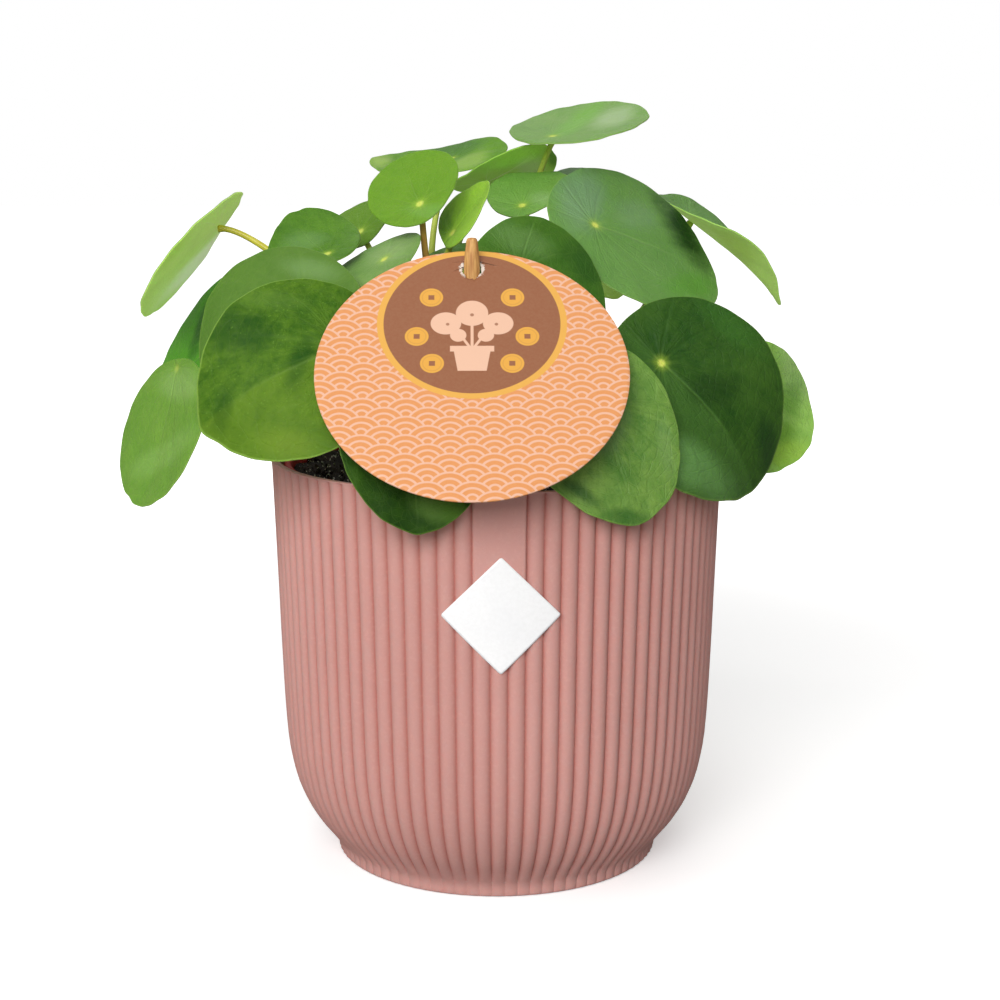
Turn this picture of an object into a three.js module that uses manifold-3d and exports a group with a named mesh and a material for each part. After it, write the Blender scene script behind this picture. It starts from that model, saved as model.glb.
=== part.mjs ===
// Potted money plant: fluted outer pot, nursery pot, soil, stem, round leaves on petioles, tag on a stick, label.
// Millimetres, +Z up, front of the pot towards -Y, origin on the pot's axis at its underside.
import * as THREE from "three";
import { mergeVertices } from "three/addons/utils/BufferGeometryUtils.js";
import Module from "manifold-3d";

const wasm = await Module();
wasm.setup();

// ---- driving dimensions -------------------------------------------------
const GAP = 0.3; // clearance between neighbouring pieces

// Outer pot: crest radius of the flutes against height
const POT_HEIGHT = 126.3;
const POT_CREST = [
  [50.9, 0.7], [51.1, 2.6], [51.7, 4.3], [53.8, 7.2], [58.3, 13], [61.8, 19.2],
  [64.6, 27], [66.6, 39], [68.0, 68], [68.5, 84], [69.85, 123.6],
];
const POT_LIP_BOTTOM = 125.6; // the flutes end just under the plain lip
const POT_RIM_R = 70.0;
const POT_WALL = 2.6;
const POT_FLOOR = 3.0;
const FLUTES = 84;
const FLUTE_DEPTH = 1.0;
const FLUTE_START = -5.75; // degrees from the front, of the first groove
const PANEL_FLUTES = 3; // the smooth front panel takes the place of this many flutes
const PANEL_BOTTOM = 84;
const FOOT_RECESS = { inner: 31, outer: 44, depth: 1.2 }; // ring-shaped recess in the underside

// Nursery pot
const NURSERY_RIM_R = 66.2;
const NURSERY_TOP = 124.4;
const NURSERY_RIM_H = 4.5;
const NURSERY_TOP_R = 65.0;
const NURSERY_BASE_R = 44.5;
const NURSERY_WALL = 1.2;

// Soil
const SOIL_TOP = 119.8;

// Main stem
const STEM_PATH = [[-12, 4, 104], [-12, 4.5, 126], [-11.5, 5.5, 149]];
const STEM_R = 2.9;

// Leaves
const BLADE_T = 0.8;
const BLADE_SIDES = 20;
const PETIOLE_R = 1.1;

// Tag and stick
const TAG_AT = [-6.77, -59.86, 158.76]; // middle of the card
const TAG_U = [0.9999, 0.0132, -0.0]; // its level direction
const TAG_N = [0.0094, -0.7181, 0.6959]; // the way its printed face looks
const TAG_R = 43.91;
const TAG_T = 0.6;
const HOLE_UP = 37; // hole centre above the card's middle, along the card
const STICK_R = 2.4;
const STICK_BOTTOM = 96;
const STICK_ABOVE = 9.4; // how far the tip stands above the hole

// Label
const LABEL_SIDE = 24.2;
const LABEL_T = 0.35;
const LABEL_Z = 90.8;
const LABEL_TURN = 1.05; // degrees from the front

// Each leaf: joint of petiole and blade, direction to the tip, upper face normal; size, offset of the
// joint, outline terms; bend about both axes and twist, fold along the midline, droop of the tip;
// root and control points of the petiole's curve, or the points it passes through.
const LEAVES = [
  { id: "01", at: [-87.11, 8.0, 196.05], u: [-0.6193, -0.2128, -0.7558], n: [-0.781, 0.068, 0.6209],
    R: 24.38, off: 0.461, w: 0.969, a2: -0.002, a3: -0.016, b2: 0.004, b3: -0.004, tip: 0.023,
    bend: [-0.00354, 0.00102, -0.00194], fold: 0.059, droop: 0.028,
    root: [-16.36, 5.26, 139.18], c1: [-35.39, 5.16, 156.77], c2: [-72.46, 8.45, 197.0] },
  { id: "02", at: [-96.35, -15.0, 154.37], u: [-0.1877, -0.308, -0.9327], n: [-0.7431, -0.5765, 0.3399],
    R: 23.56, off: 0.835, w: 0.971, a2: -0.023, a3: 0.005, b2: -0.006, b3: 0.009, tip: 0.023,
    bend: [0.00488, 0.00189, -0.00071], fold: 0.087, droop: -0.044,
    root: [-16.58, 3.68, 125.66], c1: [-51.97, -14.96, 138.99], c2: [-63.12, -27.86, 141.22] },
  { id: "03", at: [-44.66, -50.0, 164.27], u: [-0.8563, -0.4088, -0.3157], n: [0.1647, -0.7954, 0.5833],
    R: 28.79, off: 0.410, w: 0.961, a2: 0.000, a3: 0.002, b2: 0.009, b3: 0.004, tip: 0.069,
    bend: [0.006, 0.00434, 0.00051], fold: 0.036, droop: 0.108,
    root: [-14.08, 0.49, 128.78], c1: [-32.7, -17.94, 143.73], c2: [-37.48, -32.11, 147.83] },
  { id: "04", at: [-82.63, 2.0, 165.23], u: [-0.7063, 0.3047, -0.639], n: [-0.6825, -0.5326, 0.5004],
    R: 27.85, off: 0.392, w: 0.973, a2: 0.002, a3: -0.015, b2: 0.002, b3: -0.000, tip: 0.021,
    bend: [0.00406, 0.00369, -0.00191], fold: 0.043, droop: -0.019,
    root: [-16.19, 6.49, 130.86], c1: [-39.95, 8.9, 147.28], c2: [-50.46, 10.26, 145.38] },
  { id: "05", at: [-57.18, -25.0, 175.03], u: [-0.7804, -0.1752, -0.6003], n: [-0.2762, -0.7647, 0.5822],
    R: 27.10, off: 0.385, w: 0.983, a2: -0.002, a3: -0.000, b2: -0.001, b3: 0.016, tip: 0.022,
    bend: [0.00674, 0.00195, -0.00142], fold: 0.076, droop: 0.045,
    root: [-15.85, 2.52, 133.98], c1: [-32.79, -2.89, 153.62], c2: [-45.41, -13.15, 166.19] },
  { id: "06", at: [-51.4, -5.0, 188.22], u: [-0.4751, 0.8571, 0.1993], n: [-0.2477, -0.3475, 0.9043],
    R: 15.38, off: 0.559, w: 0.955, a2: 0.003, a3: -0.025, b2: -0.010, b3: -0.033, tip: 0.018,
    bend: [-3e-05, 0.00538, 0.00156], fold: 0.067, droop: -0.132,
    root: [-15.96, 4.02, 147.5], c1: [-36.47, 5.41, 166.21], c2: [-50.12, 10.15, 175.01] },
  { id: "07", at: [-43.55, 26.0, 193.78], u: [-0.1338, 0.8252, 0.5488], n: [-0.3983, -0.5519, 0.7327],
    R: 11.64, off: 0.383, w: 0.956, a2: 0.001, a3: -0.025, b2: -0.006, b3: 0.007, tip: 0.021,
    bend: [0.00433, 0.00369, -0.00054], fold: 0.088, droop: 0.008,
    root: [-15.42, 7.95, 144.38], c1: [-24.65, 19.59, 169.84], c2: [-31.51, 22.68, 171.28] },
  { id: "08", at: [-33.56, -13.0, 187.0], u: [-0.7943, -0.1822, -0.5795], n: [-0.4867, -0.38, 0.7866],
    R: 16.07, off: 0.255, w: 0.978, a2: 0.005, a3: -0.058, b2: -0.004, b3: -0.004, tip: 0.016,
    bend: [-0.00374, 0.00421, 0.00521], fold: -0.001, droop: 0.037,
    root: [-14.62, 1.64, 143.3], c1: [-32.84, 6.16, 154.83], c2: [-27.64, -6.77, 175.46] },
  { id: "09", at: [-22.92, -10.0, 203.38], u: [-0.2615, 0.7921, 0.5515], n: [-0.3783, -0.6098, 0.6964],
    R: 15.20, off: 0.474, w: 0.977, a2: -0.002, a3: -0.033, b2: -0.006, b3: 0.013, tip: 0.021,
    bend: [0.00411, 0.00349, -0.0014], fold: 0.097, droop: -0.067,
    root: [-12.36, 0.37, 137.1], c1: [-16.77, -5.18, 160.67], c2: [-20.33, 1.72, 164.12] },
  { id: "10", at: [-15.13, 62.05, 216.8], u: [-0.8781, 0.473, -0.0718], n: [-0.1906, -0.2082, 0.9593],
    R: 23.39, off: 0.203, w: 0.959, a2: 0.006, a3: -0.014, b2: -0.002, b3: -0.003, tip: 0.025,
    bend: [0.00414, 0.00165, -0.00521], fold: 0.067, droop: -0.110,
    root: [-11.88, 9.81, 141.26], c1: [-16.72, 28.37, 159.35], c2: [-29.33, 55.39, 180.19] },
  { id: "11", at: [-2.93, 57.12, 209.67], u: [0.6796, -0.6649, 0.31], n: [-0.1854, 0.2532, 0.9495],
    R: 18.53, off: 0.410, w: 0.961, a2: 0.003, a3: -0.022, b2: -0.003, b3: -0.005, tip: 0.021,
    bend: [0.0033, 0.00532, 0.00065], fold: -0.018, droop: -0.105,
    root: [-10.46, 9.24, 132.94], c1: [-17.6, 24.72, 148.56], c2: [-28.03, 47.61, 165.44] },
  { id: "12", at: [18.17, 35.8, 223.78], u: [0.6348, 0.7385, 0.2272], n: [-0.0932, -0.2187, 0.9713],
    R: 23.09, off: 0.586, w: 0.980, a2: -0.006, a3: -0.016, b2: 0.001, b3: -0.000, tip: 0.031,
    bend: [-0.00043, -0.00122, 0.00034], fold: 0.030, droop: -0.036,
    root: [-8.18, 8.02, 138.14], c1: [1.34, 33.6, 156.49], c2: [6.37, 82.03, 193.78] },
  { id: "13", at: [-13.14, -5.0, 194.56], u: [0.6415, -0.0269, 0.7667], n: [-0.7013, -0.4257, 0.5718],
    R: 11.65, off: 0.558, w: 1.005, a2: -0.017, a3: 0.057, b2: 0.020, b3: -0.028, tip: 0.025,
    bend: [0.00347, 0.00368, 0.00565], fold: 0.211, droop: -0.046,
    root: [-10.56, 0.81, 145.42], c1: [-15.8, -5.84, 173.46], c2: [-19.32, 1.56, 182.34] },
  { id: "14", at: [8.33, 27.72, 201.91], u: [0.2516, 0.8149, 0.5221], n: [-0.1933, -0.4862, 0.8522],
    R: 14.20, off: 0.553, w: 0.954, a2: -0.003, a3: -0.015, b2: -0.005, b3: 0.013, tip: 0.011,
    bend: [0.00062, 0.00354, -0.00041], fold: 0.170, droop: 0.017,
    root: [-9.24, 9.42, 146.46], c1: [0.59, 20.57, 167.81], c2: [-3.04, 23.2, 175.58] },
  { id: "15", at: [6.87, -17.76, 184.09], u: [0.6218, -0.0525, -0.7814], n: [0.3908, -0.8439, 0.3676],
    R: 23.71, off: 0.352, w: 0.997, a2: -0.002, a3: 0.009, b2: 0.003, b3: 0.015, tip: 0.019,
    bend: [0.00192, 0.00641, 0.00225], fold: 0.047, droop: 0.003,
    root: [-8.39, 1.84, 140.22], c1: [-0.7, -9.38, 158.83], c2: [1.8, -4.58, 160.35] },
  { id: "16", at: [31.0, 18.07, 196.09], u: [0.9016, 0.2858, -0.3248], n: [0.4322, -0.5606, 0.7064],
    R: 31.60, off: 0.482, w: 0.982, a2: -0.004, a3: -0.014, b2: -0.007, b3: -0.005, tip: 0.024,
    bend: [0.00295, 0.00199, 0.00145], fold: 0.074, droop: 0.007,
    root: [-7.01, 5.87, 143.34], c1: [2.53, 14.1, 163.29], c2: [13.71, 18.97, 172.83] },
  { id: "17", at: [30.45, 32.0, 180.33], u: [0.5412, -0.6396, -0.5459], n: [0.3729, -0.3993, 0.8375],
    R: 9.91, off: 0.370, w: 0.958, a2: 0.002, a3: -0.017, b2: -0.000, b3: 0.001, tip: 0.021,
    bend: [0.00388, 0.00408, 0.00047], fold: 0.045, droop: 0.004,
    root: [-7.26, 3.89, 135.02], c1: [12.36, 11.52, 159.15], c2: [23.86, 24.0, 173.08] },
  { id: "18", at: [66.99, 70.08, 196.09], u: [0.7124, -0.3667, -0.5983], n: [0.5788, -0.175, 0.7965],
    R: 26.89, off: 0.501, w: 0.976, a2: -0.003, a3: -0.008, b2: 0.019, b3: -0.000, tip: 0.113,
    bend: [-0.00583, 0.0051, 0.01062], fold: 0.238, droop: 0.071,
    root: [-7.55, 6.26, 129.82], via: [[1.0, 13.5, 130.5], [20.07, 28.7, 138.98], [43.93, 47.17, 160.87], [58.51, 61.53, 179.69], [63.93, 67.59, 188.89]] },
  { id: "19", at: [47.72, -37.42, 158.43], u: [0.7323, -0.1252, -0.6694], n: [0.3082, -0.8156, 0.4897],
    R: 30.67, off: 0.455, w: 0.992, a2: -0.002, a3: 0.010, b2: 0.013, b3: 0.025, tip: 0.056,
    bend: [0.00235, 0.00207, -9e-05], fold: 0.150, droop: 0.138,
    root: [-8.06, 2.03, 126.7], c1: [19.26, -12.36, 144.03], c2: [21.86, -17.66, 137.31] },
  { id: "20", at: [77.74, -10.0, 148.8], u: [0.3891, 0.2836, -0.8765], n: [0.6271, -0.7785, 0.0265],
    R: 20.44, off: 0.398, w: 1.002, a2: -0.021, a3: -0.020, b2: 0.012, b3: 0.019, tip: -0.005,
    bend: [0.00388, 0.00477, 0.00055], fold: 0.050, droop: -0.163,
    root: [-7.35, 4.4, 121.5], c1: [12.27, 0.09, 133.97], c2: [31.74, 1.6, 143.4] },
  { id: "21", at: [28.01, -58.34, 148.14], u: [0.3541, -0.3342, -0.8734], n: [0.1807, -0.8919, 0.4146],
    R: 25.71, off: 0.270, w: 0.878, a2: 0.016, a3: 0.011, b2: -0.005, b3: 0.026, tip: 0.060,
    bend: [0.00319, 0.00596, 0.0035], fold: 0.011, droop: 0.027,
    root: [-9.9, 0.54, 131.9], c1: [6.32, -33.23, 143.57], c2: [12.27, -27.63, 143.01] },
  { id: "22", at: [-23.28, -66.93, 138.35], u: [0.0779, -0.4692, -0.8796], n: [0.1226, -0.8711, 0.4755],
    R: 19.88, off: 0.159, w: 1.008, a2: -0.001, a3: 0.026, b2: 0.046, b3: -0.009, tip: 0.041,
    bend: [0.00407, 0.00191, 0.00071], fold: 0.147, droop: 0.050,
    root: [-11.59, -0.19, 123.58], c1: [-14.84, -38.5, 126.31], c2: [-13.98, -41.57, 132.98] },
  { id: "23", at: [31.12, 66.0, 205.73], u: [0.3113, 0.8747, 0.3714], n: [0.1092, -0.4212, 0.9004],
    R: 15.01, off: 0.380, w: 0.970, a2: 0.000, a3: -0.020, b2: -0.000, b3: 0.000, tip: 0.020,
    bend: [0.00388, 0.00409, -4e-05], fold: 0.049, droop: 0.009,
    root: [-9.17, 8.16, 124.62], c1: [0.04, 38.42, 160.62], c2: [14.68, 54.46, 175.82] },
  { id: "24", at: [-10.57, 30.0, 180.47], u: [-0.6346, 0.7038, 0.3192], n: [-0.1006, -0.4848, 0.8688],
    R: 15.68, off: 0.378, w: 0.976, a2: -0.001, a3: -0.020, b2: 0.001, b3: 0.002, tip: 0.021,
    bend: [0.00438, 0.00377, -0.00056], fold: 0.042, droop: 0.041,
    root: [-14.46, 8.74, 136.06], c1: [-18.16, 15.85, 153.75], c2: [-15.4, 23.14, 163.88] },
  { id: "25", at: [-44.0, 54.0, 160.0], u: [-0.4288, 0.7238, -0.5406], n: [-0.3492, 0.4191, 0.8381],
    R: 24.00, off: 0.380, w: 0.970, a2: 0.000, a3: -0.020, b2: 0.000, b3: 0.000, tip: 0.030,
    bend: [0.004, 0.004, 0.0], fold: 0.050, droop: 0.030,
    root: [-15.43, 7.56, 122.54], c1: [-31.44, 22.29, 138.61], c2: [-40.17, 38.14, 149.83] },
  { id: "26", at: [14.0, 58.0, 156.0], u: [0.2351, 0.8281, -0.5088], n: [0.1, 0.5001, 0.8602],
    R: 26.00, off: 0.380, w: 0.970, a2: 0.000, a3: -0.020, b2: 0.000, b3: 0.000, tip: 0.030,
    bend: [0.004, 0.004, 0.0], fold: 0.050, droop: 0.030,
    root: [-13.17, 9.07, 127.74], c1: [-5.65, 29.16, 141.31], c2: [0.37, 39.68, 140.26] },
];

// ---- helpers ------------------------------------------------------------
const vec = (a) => new THREE.Vector3(a[0], a[1], a[2]);
const rad = THREE.MathUtils.degToRad;

function solidOf(geometry) {
  const g = (geometry.index ? geometry.toNonIndexed() : geometry.clone());
  g.deleteAttribute("normal");
  g.deleteAttribute("uv");
  const m = mergeVertices(g, 1e-3);
  return new wasm.Manifold(
    new wasm.Mesh({
      numProp: 3,
      vertProperties: m.attributes.position.array,
      triVerts: new Uint32Array(m.index.array),
    }),
  );
}

function geometryOf(solid) {
  const m = solid.getMesh();
  const v = new Float32Array(m.numVert * 3);
  for (let i = 0; i < m.numVert; i++)
    v.set(m.vertProperties.subarray(i * m.numProp, i * m.numProp + 3), i * 3);
  const g = new THREE.BufferGeometry();
  g.setAttribute("position", new THREE.BufferAttribute(v, 3));
  g.setIndex(new THREE.BufferAttribute(new Uint32Array(m.triVerts), 1));
  g.computeVertexNormals();
  return g;
}

// Turned body about Z. The profile is [radius, height] and starts and ends on the axis;
// angle 0 is the front (-Y) and angles grow towards +X.
function turned(profile, segments, start = 0) {
  return new THREE.LatheGeometry(profile.map(([r, z]) => new THREE.Vector2(r, z)), segments, start).rotateX(Math.PI / 2);
}

// Round tube along a curve, with a flat end at each end.
function tube(curve, radius, sides, steps) {
  const section = new THREE.Shape();
  for (let i = 0; i < sides; i++) {
    const a = (2 * Math.PI * i) / sides;
    if (i === 0) section.moveTo(radius * Math.cos(a), radius * Math.sin(a));
    else section.lineTo(radius * Math.cos(a), radius * Math.sin(a));
  }
  section.closePath();
  return new THREE.ExtrudeGeometry(section, { extrudePath: curve, steps, bevelEnabled: false, curveSegments: 1 });
}

// Moves each vertex of a geometry.
function reshape(geometry, move) {
  const p = geometry.attributes.position;
  for (let i = 0; i < p.count; i++) {
    const [x, y, z] = move(p.getX(i), p.getY(i), p.getZ(i), i);
    p.setXYZ(i, x, y, z);
  }
  geometry.computeVertexNormals();
  return geometry;
}

function material(color, roughness) {
  return new THREE.MeshStandardMaterial({ color, roughness, metalness: 0 });
}
const ROSE = material(0xc8938a, 0.75);
const TERRACOTTA = material(0x6b2a1e, 0.6);
const PEAT = material(0x1c1614, 1.0);
const STEM = material(0x6d5a34, 0.7);
const BLADE = material(0x4f7f35, 0.45);
const PETIOLE = material(0x8f9a45, 0.45);
const CARD = material(0xf2a768, 0.6);
const WOOD = material(0xcfae7c, 0.7);
const WHITE = material(0xf4f4f2, 0.6);

const plant = new THREE.Group();
function piece(parent, name, geometry, look) {
  const m = new THREE.Mesh(geometry, look);
  m.name = name;
  parent.add(m);
  return m;
}

// ---- outer pot ----------------------------------------------------------
const crestAt = (z) => {
  for (let i = 1; i < POT_CREST.length; i++)
    if (z <= POT_CREST[i][1]) {
      const [r0, z0] = POT_CREST[i - 1], [r1, z1] = POT_CREST[i];
      return r0 + ((r1 - r0) * (z - z0)) / (z1 - z0);
    }
  return POT_RIM_R;
};
{
  const crest = [[0, 0], [POT_CREST[0][0] - 0.7, 0], ...POT_CREST];
  const profile = [...crest, [POT_RIM_R, POT_LIP_BOTTOM], [POT_RIM_R, POT_HEIGHT - 0.5], [POT_RIM_R - 0.5, POT_HEIGHT], [0, POT_HEIGHT]];
  // every other column of the wall is a groove
  const outside = reshape(turned(profile, FLUTES * 2, rad(FLUTE_START)), (x, y, z, i) => {
    const column = Math.floor(i / profile.length), row = i % profile.length;
    if (row < 2 || row >= crest.length || column % 2) return [x, y, z];
    const groove = (column / 2) % FLUTES;
    if (groove > 0 && groove < PANEL_FLUTES && z >= PANEL_BOTTOM) return [x, y, z];
    const r = Math.hypot(x, y), k = (r - FLUTE_DEPTH) / r;
    return [x * k, y * k, z];
  });
  const hollow = turned([
    [0, POT_FLOOR], [crestAt(6.5) - POT_WALL - 2.5, POT_FLOOR], ...[6.5, 14, 26, 46].map((z) => [crestAt(z) - POT_WALL, z]),
    [POT_RIM_R - POT_WALL, POT_HEIGHT - 0.4], [POT_RIM_R - POT_WALL + 0.8, POT_HEIGHT + 0.4], [0, POT_HEIGHT + 0.4],
  ], 72);
  const { inner, outer, depth } = FOOT_RECESS;
  const recess = turned([[0, -1], [outer, -1], [outer, depth], [0, depth]], 72);
  const middle = turned([[0, -2], [inner, -2], [inner, depth + 1], [0, depth + 1]], 72);
  const body = solidOf(outside).subtract(solidOf(hollow)).subtract(solidOf(recess).subtract(solidOf(middle)));
  piece(plant, "outer_pot", geometryOf(body), ROSE);
}

// ---- nursery pot ----------------------------------------------------------
const nursery = new THREE.Group();
nursery.position.z = POT_FLOOR + GAP; // it stands on the outer pot's floor
plant.add(nursery);
const nurseryRim = NURSERY_TOP - NURSERY_RIM_H - nursery.position.z; // underside of the rim, above its own base
const nurseryAt = (h) => NURSERY_BASE_R + ((NURSERY_TOP_R - NURSERY_BASE_R) * h) / nurseryRim;
{
  const top = NURSERY_TOP - nursery.position.z, w = NURSERY_WALL;
  piece(nursery, "nursery_pot", turned([
    [0, 0], [NURSERY_BASE_R - 1, 0], [nurseryAt(1), 1], [NURSERY_TOP_R, nurseryRim],
    [NURSERY_RIM_R - 0.5, nurseryRim], [NURSERY_RIM_R, nurseryRim + 0.6], [NURSERY_RIM_R, top - 1], [NURSERY_RIM_R - 0.9, top],
    [NURSERY_TOP_R - w + 0.6, top], [NURSERY_TOP_R - w, top - 0.7], [NURSERY_TOP_R - w, nurseryRim],
    [nurseryAt(w) - w, w], [0, w],
  ], 60), TERRACOTTA);
}

// ---- main stem, stick and soil ---------------------------------------------
const stemCurve = new THREE.QuadraticBezierCurve3(...STEM_PATH.map(vec));
piece(plant, "main_stem", tube(stemCurve, STEM_R, 12, 5), STEM);

const tag = new THREE.Group(); // the tag's own frame: X level, Y up the card, Z out of its face
{
  const n = vec(TAG_N).normalize(), u = vec(TAG_U).addScaledVector(n, -vec(TAG_U).dot(n)).normalize();
  tag.quaternion.setFromRotationMatrix(new THREE.Matrix4().makeBasis(u, n.clone().cross(u), n));
  tag.position.copy(vec(TAG_AT));
}
plant.add(tag);
tag.updateMatrixWorld(true);
const hole = new THREE.Vector3(0, HOLE_UP, 0).applyMatrix4(tag.matrixWorld);
const stickLength = hole.z + STICK_ABOVE - STICK_BOTTOM;
{
  const stick = piece(plant, "tag_stick", turned([
    [0, 0], [STICK_R, 0], [STICK_R, stickLength - STICK_ABOVE + 1], [1.95, stickLength - 4.4],
    [1.4, stickLength - 1.1], [0.9, stickLength - 0.3], [0, stickLength],
  ], 16), WOOD);
  stick.position.set(hole.x, hole.y, STICK_BOTTOM);
}
{
  const base = nursery.position.z + NURSERY_WALL + GAP;
  const wallAt = (z) => nurseryAt(z - nursery.position.z) - NURSERY_WALL - GAP - 0.2;
  const soil = solidOf(turned([[0, base], [wallAt(base), base], [wallAt(SOIL_TOP), SOIL_TOP], [0, SOIL_TOP]], 60));
  const stemPocket = solidOf(tube(
    new THREE.QuadraticBezierCurve3(vec(STEM_PATH[0]).add(new THREE.Vector3(0, 0, -GAP)), vec(STEM_PATH[1]), vec(STEM_PATH[2])),
    STEM_R + GAP, 12, 5));
  const stickPocket = solidOf(turned([[0, STICK_BOTTOM - GAP], [STICK_R + GAP, STICK_BOTTOM - GAP], [STICK_R + GAP, SOIL_TOP + 5], [0, SOIL_TOP + 5]], 16).translate(hole.x, hole.y, 0));
  piece(plant, "potting_soil", geometryOf(soil.subtract(stemPocket).subtract(stickPocket)), PEAT);
}

// ---- tag ------------------------------------------------------------------
{
  const h = TAG_T / 2;
  const card = solidOf(turned([[0, -h], [TAG_R, -h], [TAG_R, h], [0, h]], 60));
  // the stick's hole runs upright through the leaning card
  const up = new THREE.Vector3(0, 0, 1).applyQuaternion(tag.quaternion.clone().invert());
  const cutter = turned([[0, -14], [STICK_R + GAP + 0.05, -14], [STICK_R + GAP + 0.05, 14], [0, 14]], 20)
    .applyQuaternion(new THREE.Quaternion().setFromUnitVectors(new THREE.Vector3(0, 0, 1), up))
    .translate(0, HOLE_UP, 0);
  piece(tag, "plant_tag", geometryOf(card.subtract(solidOf(cutter))), CARD);
}

// ---- label ------------------------------------------------------------------
{
  // square sheet turned on its corner, wrapped on the wall just off the crests
  const sheet = new THREE.BoxGeometry(LABEL_SIDE, LABEL_SIDE, LABEL_T, 6, 6, 1).rotateZ(Math.PI / 4);
  reshape(sheet, (x, y, h) => {
    const z = LABEL_Z + y;
    const r = crestAt(z) + GAP + 0.06 + LABEL_T / 2 + h, a = rad(LABEL_TURN) + x / crestAt(LABEL_Z);
    return [r * Math.sin(a), -r * Math.cos(a), z];
  });
  piece(plant, "pot_label", sheet, WHITE);
}

// ---- leaves -----------------------------------------------------------------
// The blade's edge at polar angle a, from the joint: x towards the tip, y across.
function edge(l, a) {
  const q = a > Math.PI ? a - 2 * Math.PI : a;
  const k = 1 + l.a2 * Math.cos(2 * a) + l.a3 * Math.cos(3 * a) + l.b2 * Math.sin(2 * a) + l.b3 * Math.sin(3 * a)
    + l.tip * Math.exp(-Math.sqrt(q * q + 0.0016) / 0.3);
  return [l.off * l.R + l.R * k * Math.cos(a), l.R * l.w * k * Math.sin(a)];
}
// Height of the blade over the plane through the joint.
function rise(l, x, y) {
  const [bx, by, twist] = l.bend;
  const t = Math.max(x / l.R, 0);
  return -0.5 * bx * x * x - 0.5 * by * y * y - twist * x * y
    + l.fold * (Math.sqrt(y * y + (0.12 * l.R) ** 2) - 0.12 * l.R) - l.droop * l.R * t ** 3;
}
for (const l of LEAVES) {
  const n = vec(l.n).normalize(), u = vec(l.u).addScaledVector(n, -vec(l.u).dot(n)).normalize();
  const h = BLADE_T / 2;
  // a thin round plate in rings, its edge moved out to the leaf's outline and its face bent
  const plate = [[0, -h], [0.5, -h], [1, -h], [1, h], [0.5, h], [0, h]];
  const shape = reshape(turned(plate, BLADE_SIDES), (x, y, z, i) => {
    const a = (2 * Math.PI * (Math.floor(i / plate.length) % BLADE_SIDES)) / BLADE_SIDES;
    const k = plate[i % plate.length][0], [ex, ey] = edge(l, a);
    return [k * ex, k * ey, rise(l, k * ex, k * ey) + z];
  });
  const blade = piece(plant, "leaf_blade_" + l.id, shape, BLADE);
  blade.quaternion.setFromRotationMatrix(new THREE.Matrix4().makeBasis(u, n.clone().cross(u), n));
  blade.position.copy(vec(l.at));

  // the petiole ends just under the blade, on its underside
  const under = vec(l.at).addScaledVector(n, -h - 0.05);
  const before = l.via ? l.via[l.via.length - 1] : l.c2;
  const into = under.clone().sub(vec(before)).normalize();
  const slope = Math.sqrt(Math.max(0, 1 - into.dot(n) ** 2)) / Math.max(0.25, Math.abs(into.dot(n)));
  const end = under.addScaledVector(into, -(GAP + PETIOLE_R * slope) / Math.max(0.3, Math.abs(into.dot(n)) + 0.2));
  const way = l.via
    ? new THREE.CatmullRomCurve3([vec(l.root), ...l.via.map(vec), end])
    : new THREE.CubicBezierCurve3(vec(l.root), vec(l.c1), vec(l.c2), end);
  piece(plant, "petiole_" + l.id, tube(way, PETIOLE_R, 6, Math.round(4 + way.getLength() / 11)), PETIOLE);
}

export default plant;
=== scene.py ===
import math

import bpy
import numpy as np
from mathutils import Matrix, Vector


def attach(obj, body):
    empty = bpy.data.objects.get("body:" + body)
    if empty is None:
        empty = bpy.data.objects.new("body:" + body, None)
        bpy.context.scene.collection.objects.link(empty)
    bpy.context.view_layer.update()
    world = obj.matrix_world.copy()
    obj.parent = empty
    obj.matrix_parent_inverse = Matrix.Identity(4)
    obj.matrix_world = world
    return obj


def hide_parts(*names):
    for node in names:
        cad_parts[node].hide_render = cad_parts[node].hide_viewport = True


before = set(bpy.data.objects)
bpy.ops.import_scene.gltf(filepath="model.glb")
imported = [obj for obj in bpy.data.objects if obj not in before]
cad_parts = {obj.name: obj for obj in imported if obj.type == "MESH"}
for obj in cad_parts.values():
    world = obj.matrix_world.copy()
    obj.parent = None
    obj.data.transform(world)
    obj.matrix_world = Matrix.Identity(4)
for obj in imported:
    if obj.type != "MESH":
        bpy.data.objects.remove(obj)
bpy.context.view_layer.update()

MM = 0.001
TAU = 2 * math.pi

# ---- dimensions, in millimetres -------------------------------------------
POT_HEIGHT = 126.3
POT_CREST = [
    (50.9, 0.7), (51.1, 2.6), (51.7, 4.3), (53.8, 7.2), (58.3, 13.0), (61.8, 19.2),
    (64.6, 27.0), (66.6, 39.0), (68.0, 68.0), (68.5, 84.0), (69.85, 123.6),
]
POT_RIM_R = 70.0
POT_WALL = 2.6
POT_FLOOR = 3.0
FLUTES = 84
FLUTE_START = -5.75
PANEL_FLUTES = 3
PANEL_BOTTOM = 84.0
FLUTE_TOP = 126.0

NURSERY_BASE = 3.3
NURSERY_RIM_R = 66.2
NURSERY_TOP = 124.4
NURSERY_RIM_H = 4.5
NURSERY_TOP_R = 65.0
NURSERY_BASE_R = 44.5
NURSERY_WALL = 1.2
SOIL_TOP = 119.8

STEM_PATH = [(-12.0, 4.0, 104.0), (-12.0, 4.5, 126.0), (-11.5, 5.5, 149.0)]
STEM_R = 2.9

TAG_AT = (-6.77, -59.86, 158.76)
TAG_U = (0.9999, 0.0132, 0.0)
TAG_N = (0.0094, -0.7181, 0.6959)
TAG_R = 43.91
TAG_T = 0.6
HOLE_UP = 37.0
HOLE_R = 2.75
STICK_R = 2.4
STICK_BOTTOM = 96.0
STICK_ABOVE = 9.4

LABEL_SIDE = 24.2
LABEL_Z = 90.8
LABEL_TURN = 1.05

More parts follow.
